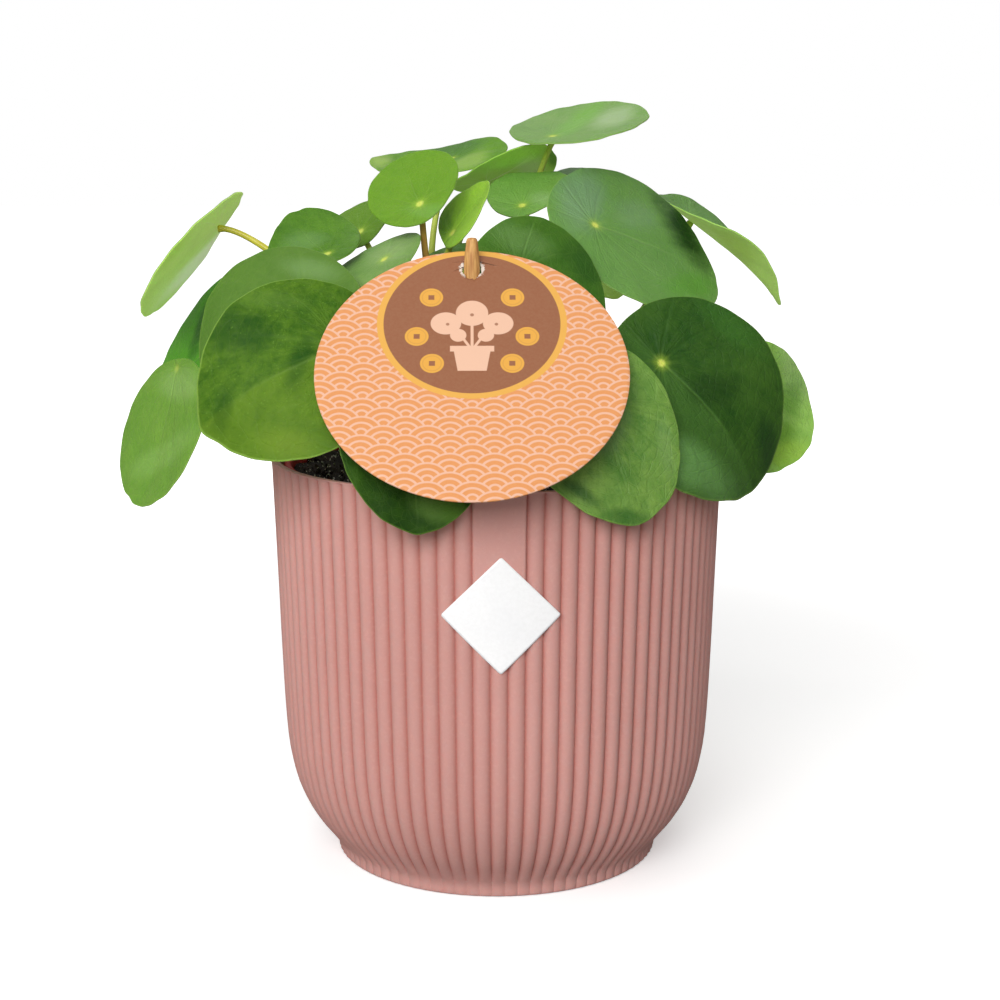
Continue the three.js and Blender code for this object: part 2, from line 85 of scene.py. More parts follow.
# Each leaf: joint of petiole and blade, direction to the tip, upper normal, size and outline terms,
# bend, fold and droop of the blade, and the petiole's route.
LEAVES = {
    1: dict(at=(-87.11, 8.00, 196.05), u=(-0.6193, -0.2128, -0.7558), n=(-0.7810, 0.0680, 0.6209), R=24.38, off=0.461, w=0.969,
        a2=-0.002, a3=-0.016, b2=0.004, b3=-0.004, tip=0.023, bend=(-0.00354, 0.00102, -0.00194), fold=0.059, droop=0.028,
        root=(-16.36, 5.26, 139.18), c1=(-35.39, 5.16, 156.77), c2=(-72.46, 8.45, 197.00)),
    2: dict(at=(-96.35, -15.00, 154.37), u=(-0.1877, -0.3080, -0.9327), n=(-0.7431, -0.5765, 0.3399), R=23.56, off=0.835, w=0.971,
        a2=-0.023, a3=0.005, b2=-0.006, b3=0.009, tip=0.023, bend=(0.00488, 0.00189, -0.00071), fold=0.087, droop=-0.044,
        root=(-16.58, 3.68, 125.66), c1=(-51.97, -14.96, 138.99), c2=(-63.12, -27.86, 141.22)),
    3: dict(at=(-44.66, -50.00, 164.27), u=(-0.8563, -0.4088, -0.3157), n=(0.1647, -0.7954, 0.5833), R=28.79, off=0.410, w=0.961,
        a2=0.000, a3=0.002, b2=0.009, b3=0.004, tip=0.069, bend=(0.00600, 0.00434, 0.00051), fold=0.036, droop=0.108,
        root=(-14.08, 0.49, 128.78), c1=(-32.70, -17.94, 143.73), c2=(-37.48, -32.11, 147.83)),
    4: dict(at=(-82.63, 2.00, 165.23), u=(-0.7063, 0.3047, -0.6390), n=(-0.6825, -0.5326, 0.5004), R=27.85, off=0.392, w=0.973,
        a2=0.002, a3=-0.015, b2=0.002, b3=-0.000, tip=0.021, bend=(0.00406, 0.00369, -0.00191), fold=0.043, droop=-0.019,
        root=(-16.19, 6.49, 130.86), c1=(-39.95, 8.90, 147.28), c2=(-50.46, 10.26, 145.38)),
    5: dict(at=(-57.18, -25.00, 175.03), u=(-0.7804, -0.1752, -0.6003), n=(-0.2762, -0.7647, 0.5822), R=27.10, off=0.385, w=0.983,
        a2=-0.002, a3=-0.000, b2=-0.001, b3=0.016, tip=0.022, bend=(0.00674, 0.00195, -0.00142), fold=0.076, droop=0.045,
        root=(-15.85, 2.52, 133.98), c1=(-32.79, -2.89, 153.62), c2=(-45.41, -13.15, 166.19)),
    6: dict(at=(-51.40, -5.00, 188.22), u=(-0.4751, 0.8571, 0.1993), n=(-0.2477, -0.3475, 0.9043), R=15.38, off=0.559, w=0.955,
        a2=0.003, a3=-0.025, b2=-0.010, b3=-0.033, tip=0.018, bend=(-0.00003, 0.00538, 0.00156), fold=0.067, droop=-0.132,
        root=(-15.96, 4.02, 147.50), c1=(-36.47, 5.41, 166.21), c2=(-50.12, 10.15, 175.01)),
    7: dict(at=(-43.55, 26.00, 193.78), u=(-0.1338, 0.8252, 0.5488), n=(-0.3983, -0.5519, 0.7327), R=11.64, off=0.383, w=0.956,
        a2=0.001, a3=-0.025, b2=-0.006, b3=0.007, tip=0.021, bend=(0.00433, 0.00369, -0.00054), fold=0.088, droop=0.008,
        root=(-15.42, 7.95, 144.38), c1=(-24.65, 19.59, 169.84), c2=(-31.51, 22.68, 171.28)),
    8: dict(at=(-33.56, -13.00, 187.00), u=(-0.7943, -0.1822, -0.5795), n=(-0.4867, -0.3800, 0.7866), R=16.07, off=0.255, w=0.978,
        a2=0.005, a3=-0.058, b2=-0.004, b3=-0.004, tip=0.016, bend=(-0.00374, 0.00421, 0.00521), fold=-0.001, droop=0.037,
        root=(-14.62, 1.64, 143.30), c1=(-32.84, 6.16, 154.83), c2=(-27.64, -6.77, 175.46)),
    9: dict(at=(-22.92, -10.00, 203.38), u=(-0.2615, 0.7921, 0.5515), n=(-0.3783, -0.6098, 0.6964), R=15.20, off=0.474, w=0.977,
        a2=-0.002, a3=-0.033, b2=-0.006, b3=0.013, tip=0.021, bend=(0.00411, 0.00349, -0.00140), fold=0.097, droop=-0.067,
        root=(-12.36, 0.37, 137.10), c1=(-16.77, -5.18, 160.67), c2=(-20.33, 1.72, 164.12)),
    10: dict(at=(-15.13, 62.05, 216.80), u=(-0.8781, 0.4730, -0.0718), n=(-0.1906, -0.2082, 0.9593), R=23.39, off=0.203, w=0.959,
        a2=0.006, a3=-0.014, b2=-0.002, b3=-0.003, tip=0.025, bend=(0.00414, 0.00165, -0.00521), fold=0.067, droop=-0.110,
        root=(-11.88, 9.81, 141.26), c1=(-16.72, 28.37, 159.35), c2=(-29.33, 55.39, 180.19)),
    11: dict(at=(-2.93, 57.12, 209.67), u=(0.6796, -0.6649, 0.3100), n=(-0.1854, 0.2532, 0.9495), R=18.53, off=0.410, w=0.961,
        a2=0.003, a3=-0.022, b2=-0.003, b3=-0.005, tip=0.021, bend=(0.00330, 0.00532, 0.00065), fold=-0.018, droop=-0.105,
        root=(-10.46, 9.24, 132.94), c1=(-17.60, 24.72, 148.56), c2=(-28.03, 47.61, 165.44)),
    12: dict(at=(18.17, 35.80, 223.78), u=(0.6348, 0.7385, 0.2272), n=(-0.0932, -0.2187, 0.9713), R=23.09, off=0.586, w=0.980,
        a2=-0.006, a3=-0.016, b2=0.001, b3=-0.000, tip=0.031, bend=(-0.00043, -0.00122, 0.00034), fold=0.030, droop=-0.036,
        root=(-8.18, 8.02, 138.14), c1=(1.34, 33.60, 156.49), c2=(6.37, 82.03, 193.78)),
    13: dict(at=(-13.14, -5.00, 194.56), u=(0.6415, -0.0269, 0.7667), n=(-0.7013, -0.4257, 0.5718), R=11.65, off=0.558, w=1.005,
        a2=-0.017, a3=0.057, b2=0.020, b3=-0.028, tip=0.025, bend=(0.00347, 0.00368, 0.00565), fold=0.211, droop=-0.046,
        root=(-10.56, 0.81, 145.42), c1=(-15.80, -5.84, 173.46), c2=(-19.32, 1.56, 182.34)),
    14: dict(at=(8.33, 27.72, 201.91), u=(0.2516, 0.8149, 0.5221), n=(-0.1933, -0.4862, 0.8522), R=14.20, off=0.553, w=0.954,
        a2=-0.003, a3=-0.015, b2=-0.005, b3=0.013, tip=0.011, bend=(0.00062, 0.00354, -0.00041), fold=0.170, droop=0.017,
        root=(-9.24, 9.42, 146.46), c1=(0.59, 20.57, 167.81), c2=(-3.04, 23.20, 175.58)),
    15: dict(at=(6.87, -17.76, 184.09), u=(0.6218, -0.0525, -0.7814), n=(0.3908, -0.8439, 0.3676), R=23.71, off=0.352, w=0.997,
        a2=-0.002, a3=0.009, b2=0.003, b3=0.015, tip=0.019, bend=(0.00192, 0.00641, 0.00225), fold=0.047, droop=0.003,
        root=(-8.39, 1.84, 140.22), c1=(-0.70, -9.38, 158.83), c2=(1.80, -4.58, 160.35)),
    16: dict(at=(31.00, 18.07, 196.09), u=(0.9016, 0.2858, -0.3248), n=(0.4322, -0.5606, 0.7064), R=31.60, off=0.482, w=0.982,
        a2=-0.004, a3=-0.014, b2=-0.007, b3=-0.005, tip=0.024, bend=(0.00295, 0.00199, 0.00145), fold=0.074, droop=0.007,
        root=(-7.01, 5.87, 143.34), c1=(2.53, 14.10, 163.29), c2=(13.71, 18.97, 172.83)),
    17: dict(at=(30.45, 32.00, 180.33), u=(0.5412, -0.6396, -0.5459), n=(0.3729, -0.3993, 0.8375), R=9.91, off=0.370, w=0.958,
        a2=0.002, a3=-0.017, b2=-0.000, b3=0.001, tip=0.021, bend=(0.00388, 0.00408, 0.00047), fold=0.045, droop=0.004,
        root=(-7.26, 3.89, 135.02), c1=(12.36, 11.52, 159.15), c2=(23.86, 24.00, 173.08)),
    18: dict(at=(66.99, 70.08, 196.09), u=(0.7124, -0.3667, -0.5983), n=(0.5788, -0.1750, 0.7965), R=26.89, off=0.501, w=0.976,
        a2=-0.003, a3=-0.008, b2=0.019, b3=-0.000, tip=0.113, bend=(-0.00583, 0.00510, 0.01062), fold=0.238, droop=0.071,
        root=(-7.55, 6.26, 129.82), via=[(1.00, 13.50, 130.50), (20.07, 28.70, 138.98), (43.93, 47.17, 160.87), (58.51, 61.53, 179.69), (63.93, 67.59, 188.89)]),
    19: dict(at=(47.72, -37.42, 158.43), u=(0.7323, -0.1252, -0.6694), n=(0.3082, -0.8156, 0.4897), R=30.67, off=0.455, w=0.992,
        a2=-0.002, a3=0.010, b2=0.013, b3=0.025, tip=0.056, bend=(0.00235, 0.00207, -0.00009), fold=0.150, droop=0.138,
        root=(-8.06, 2.03, 126.70), c1=(19.26, -12.36, 144.03), c2=(21.86, -17.66, 137.31)),
    20: dict(at=(77.74, -10.00, 148.80), u=(0.3891, 0.2836, -0.8765), n=(0.6271, -0.7785, 0.0265), R=20.44, off=0.398, w=1.002,
        a2=-0.021, a3=-0.020, b2=0.012, b3=0.019, tip=-0.005, bend=(0.00388, 0.00477, 0.00055), fold=0.050, droop=-0.163,
        root=(-7.35, 4.40, 121.50), c1=(12.27, 0.09, 133.97), c2=(31.74, 1.60, 143.40)),
    21: dict(at=(28.01, -58.34, 148.14), u=(0.3541, -0.3342, -0.8734), n=(0.1807, -0.8919, 0.4146), R=25.71, off=0.270, w=0.878,
        a2=0.016, a3=0.011, b2=-0.005, b3=0.026, tip=0.060, bend=(0.00319, 0.00596, 0.00350), fold=0.011, droop=0.027,
        root=(-9.90, 0.54, 131.90), c1=(6.32, -33.23, 143.57), c2=(12.27, -27.63, 143.01)),
    22: dict(at=(-23.28, -66.93, 138.35), u=(0.0779, -0.4692, -0.8796), n=(0.1226, -0.8711, 0.4755), R=19.88, off=0.159, w=1.008,
        a2=-0.001, a3=0.026, b2=0.046, b3=-0.009, tip=0.041, bend=(0.00407, 0.00191, 0.00071), fold=0.147, droop=0.050,
        root=(-11.59, -0.19, 123.58), c1=(-14.84, -38.50, 126.31), c2=(-13.98, -41.57, 132.98)),
    23: dict(at=(31.12, 66.00, 205.73), u=(0.3113, 0.8747, 0.3714), n=(0.1092, -0.4212, 0.9004), R=15.01, off=0.380, w=0.970,
        a2=0.000, a3=-0.020, b2=-0.000, b3=0.000, tip=0.020, bend=(0.00388, 0.00409, -0.00004), fold=0.049, droop=0.009,
        root=(-9.17, 8.16, 124.62), c1=(0.04, 38.42, 160.62), c2=(14.68, 54.46, 175.82)),
    24: dict(at=(-10.57, 30.00, 180.47), u=(-0.6346, 0.7038, 0.3192), n=(-0.1006, -0.4848, 0.8688), R=15.68, off=0.378, w=0.976,
        a2=-0.001, a3=-0.020, b2=0.001, b3=0.002, tip=0.021, bend=(0.00438, 0.00377, -0.00056), fold=0.042, droop=0.041,
        root=(-14.46, 8.74, 136.06), c1=(-18.16, 15.85, 153.75), c2=(-15.40, 23.14, 163.88)),
    25: dict(at=(-44.00, 54.00, 160.00), u=(-0.4288, 0.7238, -0.5406), n=(-0.3492, 0.4191, 0.8381), R=24.00, off=0.380, w=0.970,
        a2=0.000, a3=-0.020, b2=0.000, b3=0.000, tip=0.030, bend=(0.00400, 0.00400, 0.00000), fold=0.050, droop=0.030,
        root=(-15.43, 7.56, 122.54), c1=(-31.44, 22.29, 138.61), c2=(-40.17, 38.14, 149.83)),
    26: dict(at=(14.00, 58.00, 156.00), u=(0.2351, 0.8281, -0.5088), n=(0.1000, 0.5001, 0.8602), R=26.00, off=0.380, w=0.970,
        a2=0.000, a3=-0.020, b2=0.000, b3=0.000, tip=0.030, bend=(0.00400, 0.00400, 0.00000), fold=0.050, droop=0.030,
        root=(-13.17, 9.07, 127.74), c1=(-5.65, 29.16, 141.31), c2=(0.37, 39.68, 140.26)),
}

# ---- small helpers ----------------------------------------------------------
def vec(a):
    return np.array(a, float)


def unit(a):
    a = vec(a)
    return a / np.linalg.norm(a)


def ripple(p, scale, seed, octaves=4):
    """Smooth seeded noise of about -1 to 1 at each row of p, with features about `scale` millimetres wide."""
    rng = np.random.default_rng(seed)
    out = np.zeros(len(p))
    total = 0.0
    for o in range(octaves):
        f = TAU / (scale * 2.2) * 1.9 ** o
        amp = 0.55 ** o
        part = np.zeros(len(p))
        for _ in range(6):
            d = rng.normal(size=3)
            d /= np.linalg.norm(d)
            part += np.sin(p @ d * f * rng.uniform(0.7, 1.35) + rng.uniform(0, TAU))
        out += amp * part / 3.0
        total += amp
    return out / total


def smooth(a, b, x):
    t = np.clip((x - a) / (b - a), 0, 1)
    return t * t * (3 - 2 * t)


def ring_faces(rows, cols, flip=False, offset=0):
    """Quads between `rows` closed rings of `cols` points."""
    i = np.arange(rows - 1)[:, None] * cols
    j = np.arange(cols)[None, :]
    k = (j + 1) % cols
    q = np.stack([i + j, i + k, i + cols + k, i + cols + j], -1).reshape(-1, 4) + offset
    return q[:, ::-1] if flip else q


def build(name, verts, quads, tris, material, attributes=(), flat=False):
    """A mesh object from arrays in millimetres; attributes are (name, per-vertex array)."""
    me = bpy.data.meshes.new(name)
    faces = [tuple(int(x) for x in f) for f in quads] + [tuple(int(x) for x in f) for f in tris]
    me.from_pydata((np.asarray(verts) * MM).tolist(), [], faces)
    for key, values in attributes:
        values = np.asarray(values, np.float32)
        if values.ndim == 1:
            at = me.attributes.new(key, "FLOAT", "POINT")
            at.data.foreach_set("value", values)
        else:
            at = me.attributes.new(key, "FLOAT_VECTOR", "POINT")
            at.data.foreach_set("vector", values.ravel())
    me.polygons.foreach_set("use_smooth", np.full(len(me.polygons), not flat))
    me.materials.append(material)
    me.update()
    o = bpy.data.objects.new(name, me)
    bpy.context.scene.collection.objects.link(o)
    return o


def belongs(o, slot, *nodes):
    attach(o, "root")
    if nodes:
        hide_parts(*nodes)
    return o


def pchip(xs, ys):
    """Monotone cubic through the points, as a function of an array."""
    xs, ys = vec(xs), vec(ys)
    h, d = np.diff(xs), np.diff(ys) / np.diff(xs)
    m = np.zeros(len(xs))
    m[0], m[-1] = d[0], d[-1]
    for i in range(1, len(xs) - 1):
        if d[i - 1] * d[i] > 0:
            w1, w2 = 2 * h[i] + h[i - 1], h[i] + 2 * h[i - 1]
            m[i] = (w1 + w2) / (w1 / d[i - 1] + w2 / d[i])

    def f(x):
        x = np.atleast_1d(np.asarray(x, float))
        i = np.clip(np.searchsorted(xs, x) - 1, 0, len(xs) - 2)
        t = (x - xs[i]) / h[i]
        return ((2 * t**3 - 3 * t**2 + 1) * ys[i] + (t**3 - 2 * t**2 + t) * h[i] * m[i]
                + (-2 * t**3 + 3 * t**2) * ys[i + 1] + (t**3 - t**2) * h[i] * m[i + 1])
    return f


def revolve(profile, cols, centre=(0.0, 0.0)):
    """Closed body turned about the vertical: profile of (r, z), first and last on the axis."""
    a = np.arange(cols) * TAU / cols
    rows = [p for p in profile[1:-1]]
    verts = [(centre[0], centre[1], profile[0][1])]
    for r, z in rows:
        verts += list(zip(centre[0] + r * np.sin(a), centre[1] - r * np.cos(a), np.full(cols, z)))
    verts.append((centre[0], centre[1], profile[-1][1]))
    quads = ring_faces(len(rows), cols, offset=1)
    j = np.arange(cols)
    k = (j + 1) % cols
    last = 1 + (len(rows) - 1) * cols
    tris = np.concatenate([
        np.stack([np.zeros(cols, int), 1 + k, 1 + j], -1),
        np.stack([np.full(cols, len(verts) - 1), last + j, last + k], -1)])
    return np.array(verts), quads, tris


def frames_along(points):
    """Tangent and two turning-free normals at each point of a path."""
    t = np.gradient(points, axis=0)
    t /= np.linalg.norm(t, axis=1)[:, None]
    ref = np.array([0.0, 0.0, 1.0]) if abs(t[0][2]) < 0.8 else np.array([1.0, 0.0, 0.0])
    n = np.cross(t[0], ref)
    n /= np.linalg.norm(n)
    ns, bs = [], []
    for i in range(len(points)):
        n = n - t[i] * (n @ t[i])
        n /= np.linalg.norm(n)
        ns.append(n)
        bs.append(np.cross(t[i], n))
    return t, np.array(ns), np.array(bs)


def tube(points, radii, sides, dome=(0.7, 0.7)):
    """Closed tube along points with a rounded end at each end; also each vertex's share of the length."""
    t, n, b = frames_along(points)
    rings, centres, share = [], [], []
    length = np.concatenate([[0], np.cumsum(np.linalg.norm(np.diff(points, axis=0), axis=1))])
    length /= length[-1]
    path = []
    for s in (0.45, 0.8):
        path.append((points[0] - t[0] * radii[0] * dome[0] * math.sqrt(1 - s * s), 0, radii[0] * s, 0.0))
    for i in range(len(points)):
        path.append((points[i], i, radii[i], length[i]))
    for s in (0.8, 0.45):
        path.append((points[-1] + t[-1] * radii[-1] * dome[1] * math.sqrt(1 - s * s), len(points) - 1, radii[-1] * s, 1.0))
    a = np.arange(sides) * TAU / sides
    verts = [points[0] - t[0] * radii[0] * dome[0]]
    share = [0.0]
    angle = [0.0]
    for c, i, r, l in path:
        verts += list(c + r * (np.cos(a)[:, None] * n[i] + np.sin(a)[:, None] * b[i]))
        share += [l] * sides
        angle += list(a)
    verts.append(points[-1] + t[-1] * radii[-1] * dome[1])
    share.append(1.0)
    angle.append(0.0)
    quads = ring_faces(len(path), sides, offset=1)
    j = np.arange(sides)
    k = (j + 1) % sides
    last = 1 + (len(path) - 1) * sides
    tris = np.concatenate([
        np.stack([np.zeros(sides, int), 1 + k, 1 + j], -1),
        np.stack([np.full(sides, len(verts) - 1), last + j, last + k], -1)])
    return np.array(verts), quads, tris, np.array(share), np.array(angle)


# ---- shader helpers -----------------------------------------------------------
class Shader:
    """A material whose nodes are laid down by short calls; plain numbers go straight on the sockets."""

    def __init__(self, name):
        self.m = bpy.data.materials.new(name)
        self.m.use_nodes = True
        self.t = self.m.node_tree
        self.t.nodes.clear()
        self.out = self.t.nodes.new("ShaderNodeOutputMaterial")
        self.bsdf = self.t.nodes.new("ShaderNodeBsdfPrincipled")
        self.t.links.new(self.bsdf.outputs[0], self.out.inputs[0])

    def put(self, socket, value):
        if isinstance(value, bpy.types.NodeSocket):
            self.t.links.new(value, socket)
        elif isinstance(value, (tuple, list)) and len(value) == 3 and len(getattr(socket, "default_value", (0, 0, 0))) == 4:
            socket.default_value = (*value, 1.0)
        else:
            socket.default_value = value

    def set(self, **inputs):
        for key, value in inputs.items():
            self.put(self.bsdf.inputs[key.replace("_", " ")], value)

    def attr(self, name, kind="Vector"):
        n = self.t.nodes.new("ShaderNodeAttribute")
        n.attribute_name = name
        return n.outputs[kind]

    def place(self):
        return self.t.nodes.new("ShaderNodeTexCoord").outputs["Object"]

    def split(self, v):
        n = self.t.nodes.new("ShaderNodeSeparateXYZ")
        self.put(n.inputs[0], v)
        return n.outputs[0], n.outputs[1], n.outputs[2]

    def join(self, x=0.0, y=0.0, z=0.0):
        n = self.t.nodes.new("ShaderNodeCombineXYZ")
        for s, v in zip(n.inputs, (x, y, z)):
            self.put(s, v)
        return n.outputs[0]

    def math(self, op, a, b=None, c=None, clamp=False):
        n = self.t.nodes.new("ShaderNodeMath")
        n.operation = op
        n.use_clamp = clamp
        for s, v in zip(n.inputs, (a, b, c)):
            if v is not None:
                self.put(s, v)
        return n.outputs[0]

    def vmath(self, op, a, b=None, out=0, scale=None):
        n = self.t.nodes.new("ShaderNodeVectorMath")
        n.operation = op
        self.put(n.inputs[0], a)
        if b is not None:
            self.put(n.inputs[1], b)
        if scale is not None:
            self.put(n.inputs["Scale"], scale)
        return n.outputs[out]

    def span(self, v, a, b, lo=0.0, hi=1.0, linear=False):
        n = self.t.nodes.new("ShaderNodeMapRange")
        n.interpolation_type = "LINEAR" if linear else "SMOOTHSTEP"
        for s, x in zip(n.inputs, (v, a, b, lo, hi)):
            self.put(s, x)
        return n.outputs[0]

    def mix(self, fac, a, b, mode="MIX"):
        n = self.t.nodes.new("ShaderNodeMix")
        n.data_type = "RGBA"
        n.blend_type = mode
        self.put(n.inputs[0], fac)
        self.put(n.inputs[6], a)
        self.put(n.inputs[7], b)
        return n.outputs[2]

    def noise(self, v, scale, detail=3.0, rough=0.55, out=0, distortion=0.0):
        n = self.t.nodes.new("ShaderNodeTexNoise")
        self.put(n.inputs["Vector"], v)
        n.inputs["Scale"].default_value = scale
        n.inputs["Detail"].default_value = detail
        n.inputs["Roughness"].default_value = rough
        n.inputs["Distortion"].default_value = distortion
        return n.outputs[out]

    def cells(self, v, scale, feature="F1", out=0, random=1.0):
        n = self.t.nodes.new("ShaderNodeTexVoronoi")
        n.feature = feature
        self.put(n.inputs["Vector"], v)
        n.inputs["Scale"].default_value = scale
        n.inputs["Randomness"].default_value = random
        return n.outputs[out]

    def bump(self, height, strength, distance, normal=None):
        n = self.t.nodes.new("ShaderNodeBump")
        n.inputs["Strength"].default_value = strength
        n.inputs["Distance"].default_value = distance
        self.put(n.inputs["Height"], height)
        if normal is not None:
            self.put(n.inputs["Normal"], normal)
        return n.outputs[0]


def srgb(r, g, b):
    """Linear colour of an 8-bit screen colour."""
    return tuple((c / 255 / 12.92) if c <= 10 else (((c / 255) + 0.055) / 1.055) ** 2.4 for c in (r, g, b))


# ---- materials -------------------------------------------------------------------
def rose_plastic():
    s = Shader("rose_plastic")
    p = s.place()
    broad = s.noise(p, 14.0, 3.0, 0.5)
    fine = s.noise(p, 900.0, 2.0, 0.6)
    speck = s.cells(p, 700.0)
    groove_shade = s.attr("groove_shade", "Fac")
    base = s.mix(s.span(broad, 0.3, 0.7), POT_DARK, POT_LIGHT)
    # painted shade: the grooves are darkened and reddened where shade falls in them
    base = s.mix(s.math("MULTIPLY", groove_shade, 0.56), base, POT_GROOVE_SHADE)
    base = s.mix(s.math("MULTIPLY", s.span(fine, 0.45, 0.75), 0.12), base, srgb(228, 182, 170))
    base = s.mix(s.math("MULTIPLY", s.span(speck, 0.16, 0.05), 0.10), base, srgb(150, 95, 88))
    s.set(Base_Color=base, Roughness=s.span(s.noise(p, 60.0, 3.0, 0.6), 0.2, 0.8, 0.50, 0.64, linear=True),
          Specular_IOR_Level=0.02, Subsurface_Weight=0.25, Subsurface_Radius=(1.0, 0.32, 0.22), Subsurface_Scale=0.0009)
    s.set(Normal=s.bump(s.math("ADD", s.math("MULTIPLY", fine, 0.5), s.noise(p, 2600.0, 2.0, 0.6)), 0.22, 0.00012))
    return s.m


POT_LIGHT = srgb(209, 158, 150)
POT_DARK = srgb(204, 153, 145)
# colour of the painted shade in the grooves
POT_GROOVE_SHADE = srgb(168, 72, 53)


def terracotta_plastic():
    s = Shader("terracotta_plastic")
    p = s.place()
    n = s.noise(p, 40.0, 4.0, 0.6)
    dust = s.noise(p, 160.0, 4.0, 0.7)
    base = s.mix(s.span(n, 0.3, 0.7), srgb(186, 44, 30), srgb(206, 58, 42))
    base = s.mix(s.math("MULTIPLY", s.span(dust, 0.5, 0.8), 0.35), base, srgb(80, 30, 24))
    s.set(Base_Color=base, Roughness=s.span(dust, 0.3, 0.7, 0.55, 0.8, linear=True), Specular_IOR_Level=0.2)
    s.set(Normal=s.bump(dust, 0.2, 0.0002))
    return s.m


def peat():
    s = Shader("peat")
    p = s.place()
    a = s.noise(p, 260.0, 6.0, 0.7)
    b = s.noise(p, 900.0, 4.0, 0.7)
    fibre = s.noise(s.vmath("MULTIPLY", p, (400.0, 1500.0, 900.0)), 1.0, 3.0, 0.6)
    base = s.mix(s.span(a, 0.35, 0.7), srgb(20, 13, 10), srgb(50, 32, 24))
    base = s.mix(s.math("MULTIPLY", s.span(fibre, 0.60, 0.72), 0.6), base, srgb(96, 66, 48))
    base = s.mix(s.math("MULTIPLY", s.span(b, 0.68, 0.78), 0.7), base, srgb(150, 138, 124))
    s.set(Base_Color=base, Roughness=s.span(b, 0.3, 0.7, 0.75, 1.0, linear=True), Specular_IOR_Level=0.35)
    s.set(Normal=s.bump(s.math("ADD", a, b), 0.8, 0.0010))
    return s.m


def perlite():
    s = Shader("perlite_grains")
    p = s.place()
    n = s.noise(p, 1200.0, 4.0, 0.6)
    s.set(Base_Color=s.mix(s.span(n, 0.3, 0.7), srgb(196, 190, 180), srgb(240, 238, 232)), Roughness=0.85)
    s.set(Normal=s.bump(n, 0.6, 0.0003))
    return s.m


def stem_bark():
    s = Shader("stem_bark")
    p = s.place()
    n = s.noise(s.vmath("MULTIPLY", p, (1.0, 1.0, 0.4)), 420.0, 5.0, 0.65)
    m = s.noise(p, 120.0, 3.0, 0.5)
    base = s.mix(s.span(n, 0.35, 0.65), srgb(78, 62, 34), srgb(134, 116, 66))
    base = s.mix(s.math("MULTIPLY", s.span(m, 0.45, 0.7), 0.6), base, srgb(98, 112, 50))
    s.set(Base_Color=base, Roughness=s.span(n, 0.3, 0.7, 0.55, 0.8, linear=True))
    s.set(Normal=s.bump(n, 0.6, 0.0006))
    return s.m


def petiole_skin(name, low, high, flush):
    """low at the stem, high at the blade, flush the reddish tone along its middle."""
    s = Shader(name)
    x, y, z = s.split(s.attr("run"))
    p = s.place()
    n = s.noise(s.vmath("MULTIPLY", p, (1.0, 1.0, 0.5)), 330.0, 4.0, 0.6)
    streak = s.noise(s.join(s.math("MULTIPLY", x, 9.0), s.math("COSINE", y), s.math("SINE", y)), 2.4, 3.0, 0.5)
    base = s.mix(s.span(s.math("ADD", x, s.math("MULTIPLY", s.math("SUBTRACT", n, 0.5), 0.35)), 0.05, 0.95, linear=True), low, high)
    base = s.mix(s.math("MULTIPLY", s.span(streak, 0.42, 0.72), 0.28), base, flush)
    base = s.mix(s.math("MULTIPLY", s.span(n, 0.55, 0.75), 0.25), base, srgb(225, 225, 150))
    s.set(Base_Color=base, Roughness=s.span(n, 0.3, 0.7, 0.30, 0.45, linear=True),
          Subsurface_Weight=0.12, Subsurface_Radius=(1.0, 0.9, 0.3), Subsurface_Scale=0.0012)
    s.set(Normal=s.bump(s.math("ADD", n, streak), 0.18, 0.0003))
    return s.m


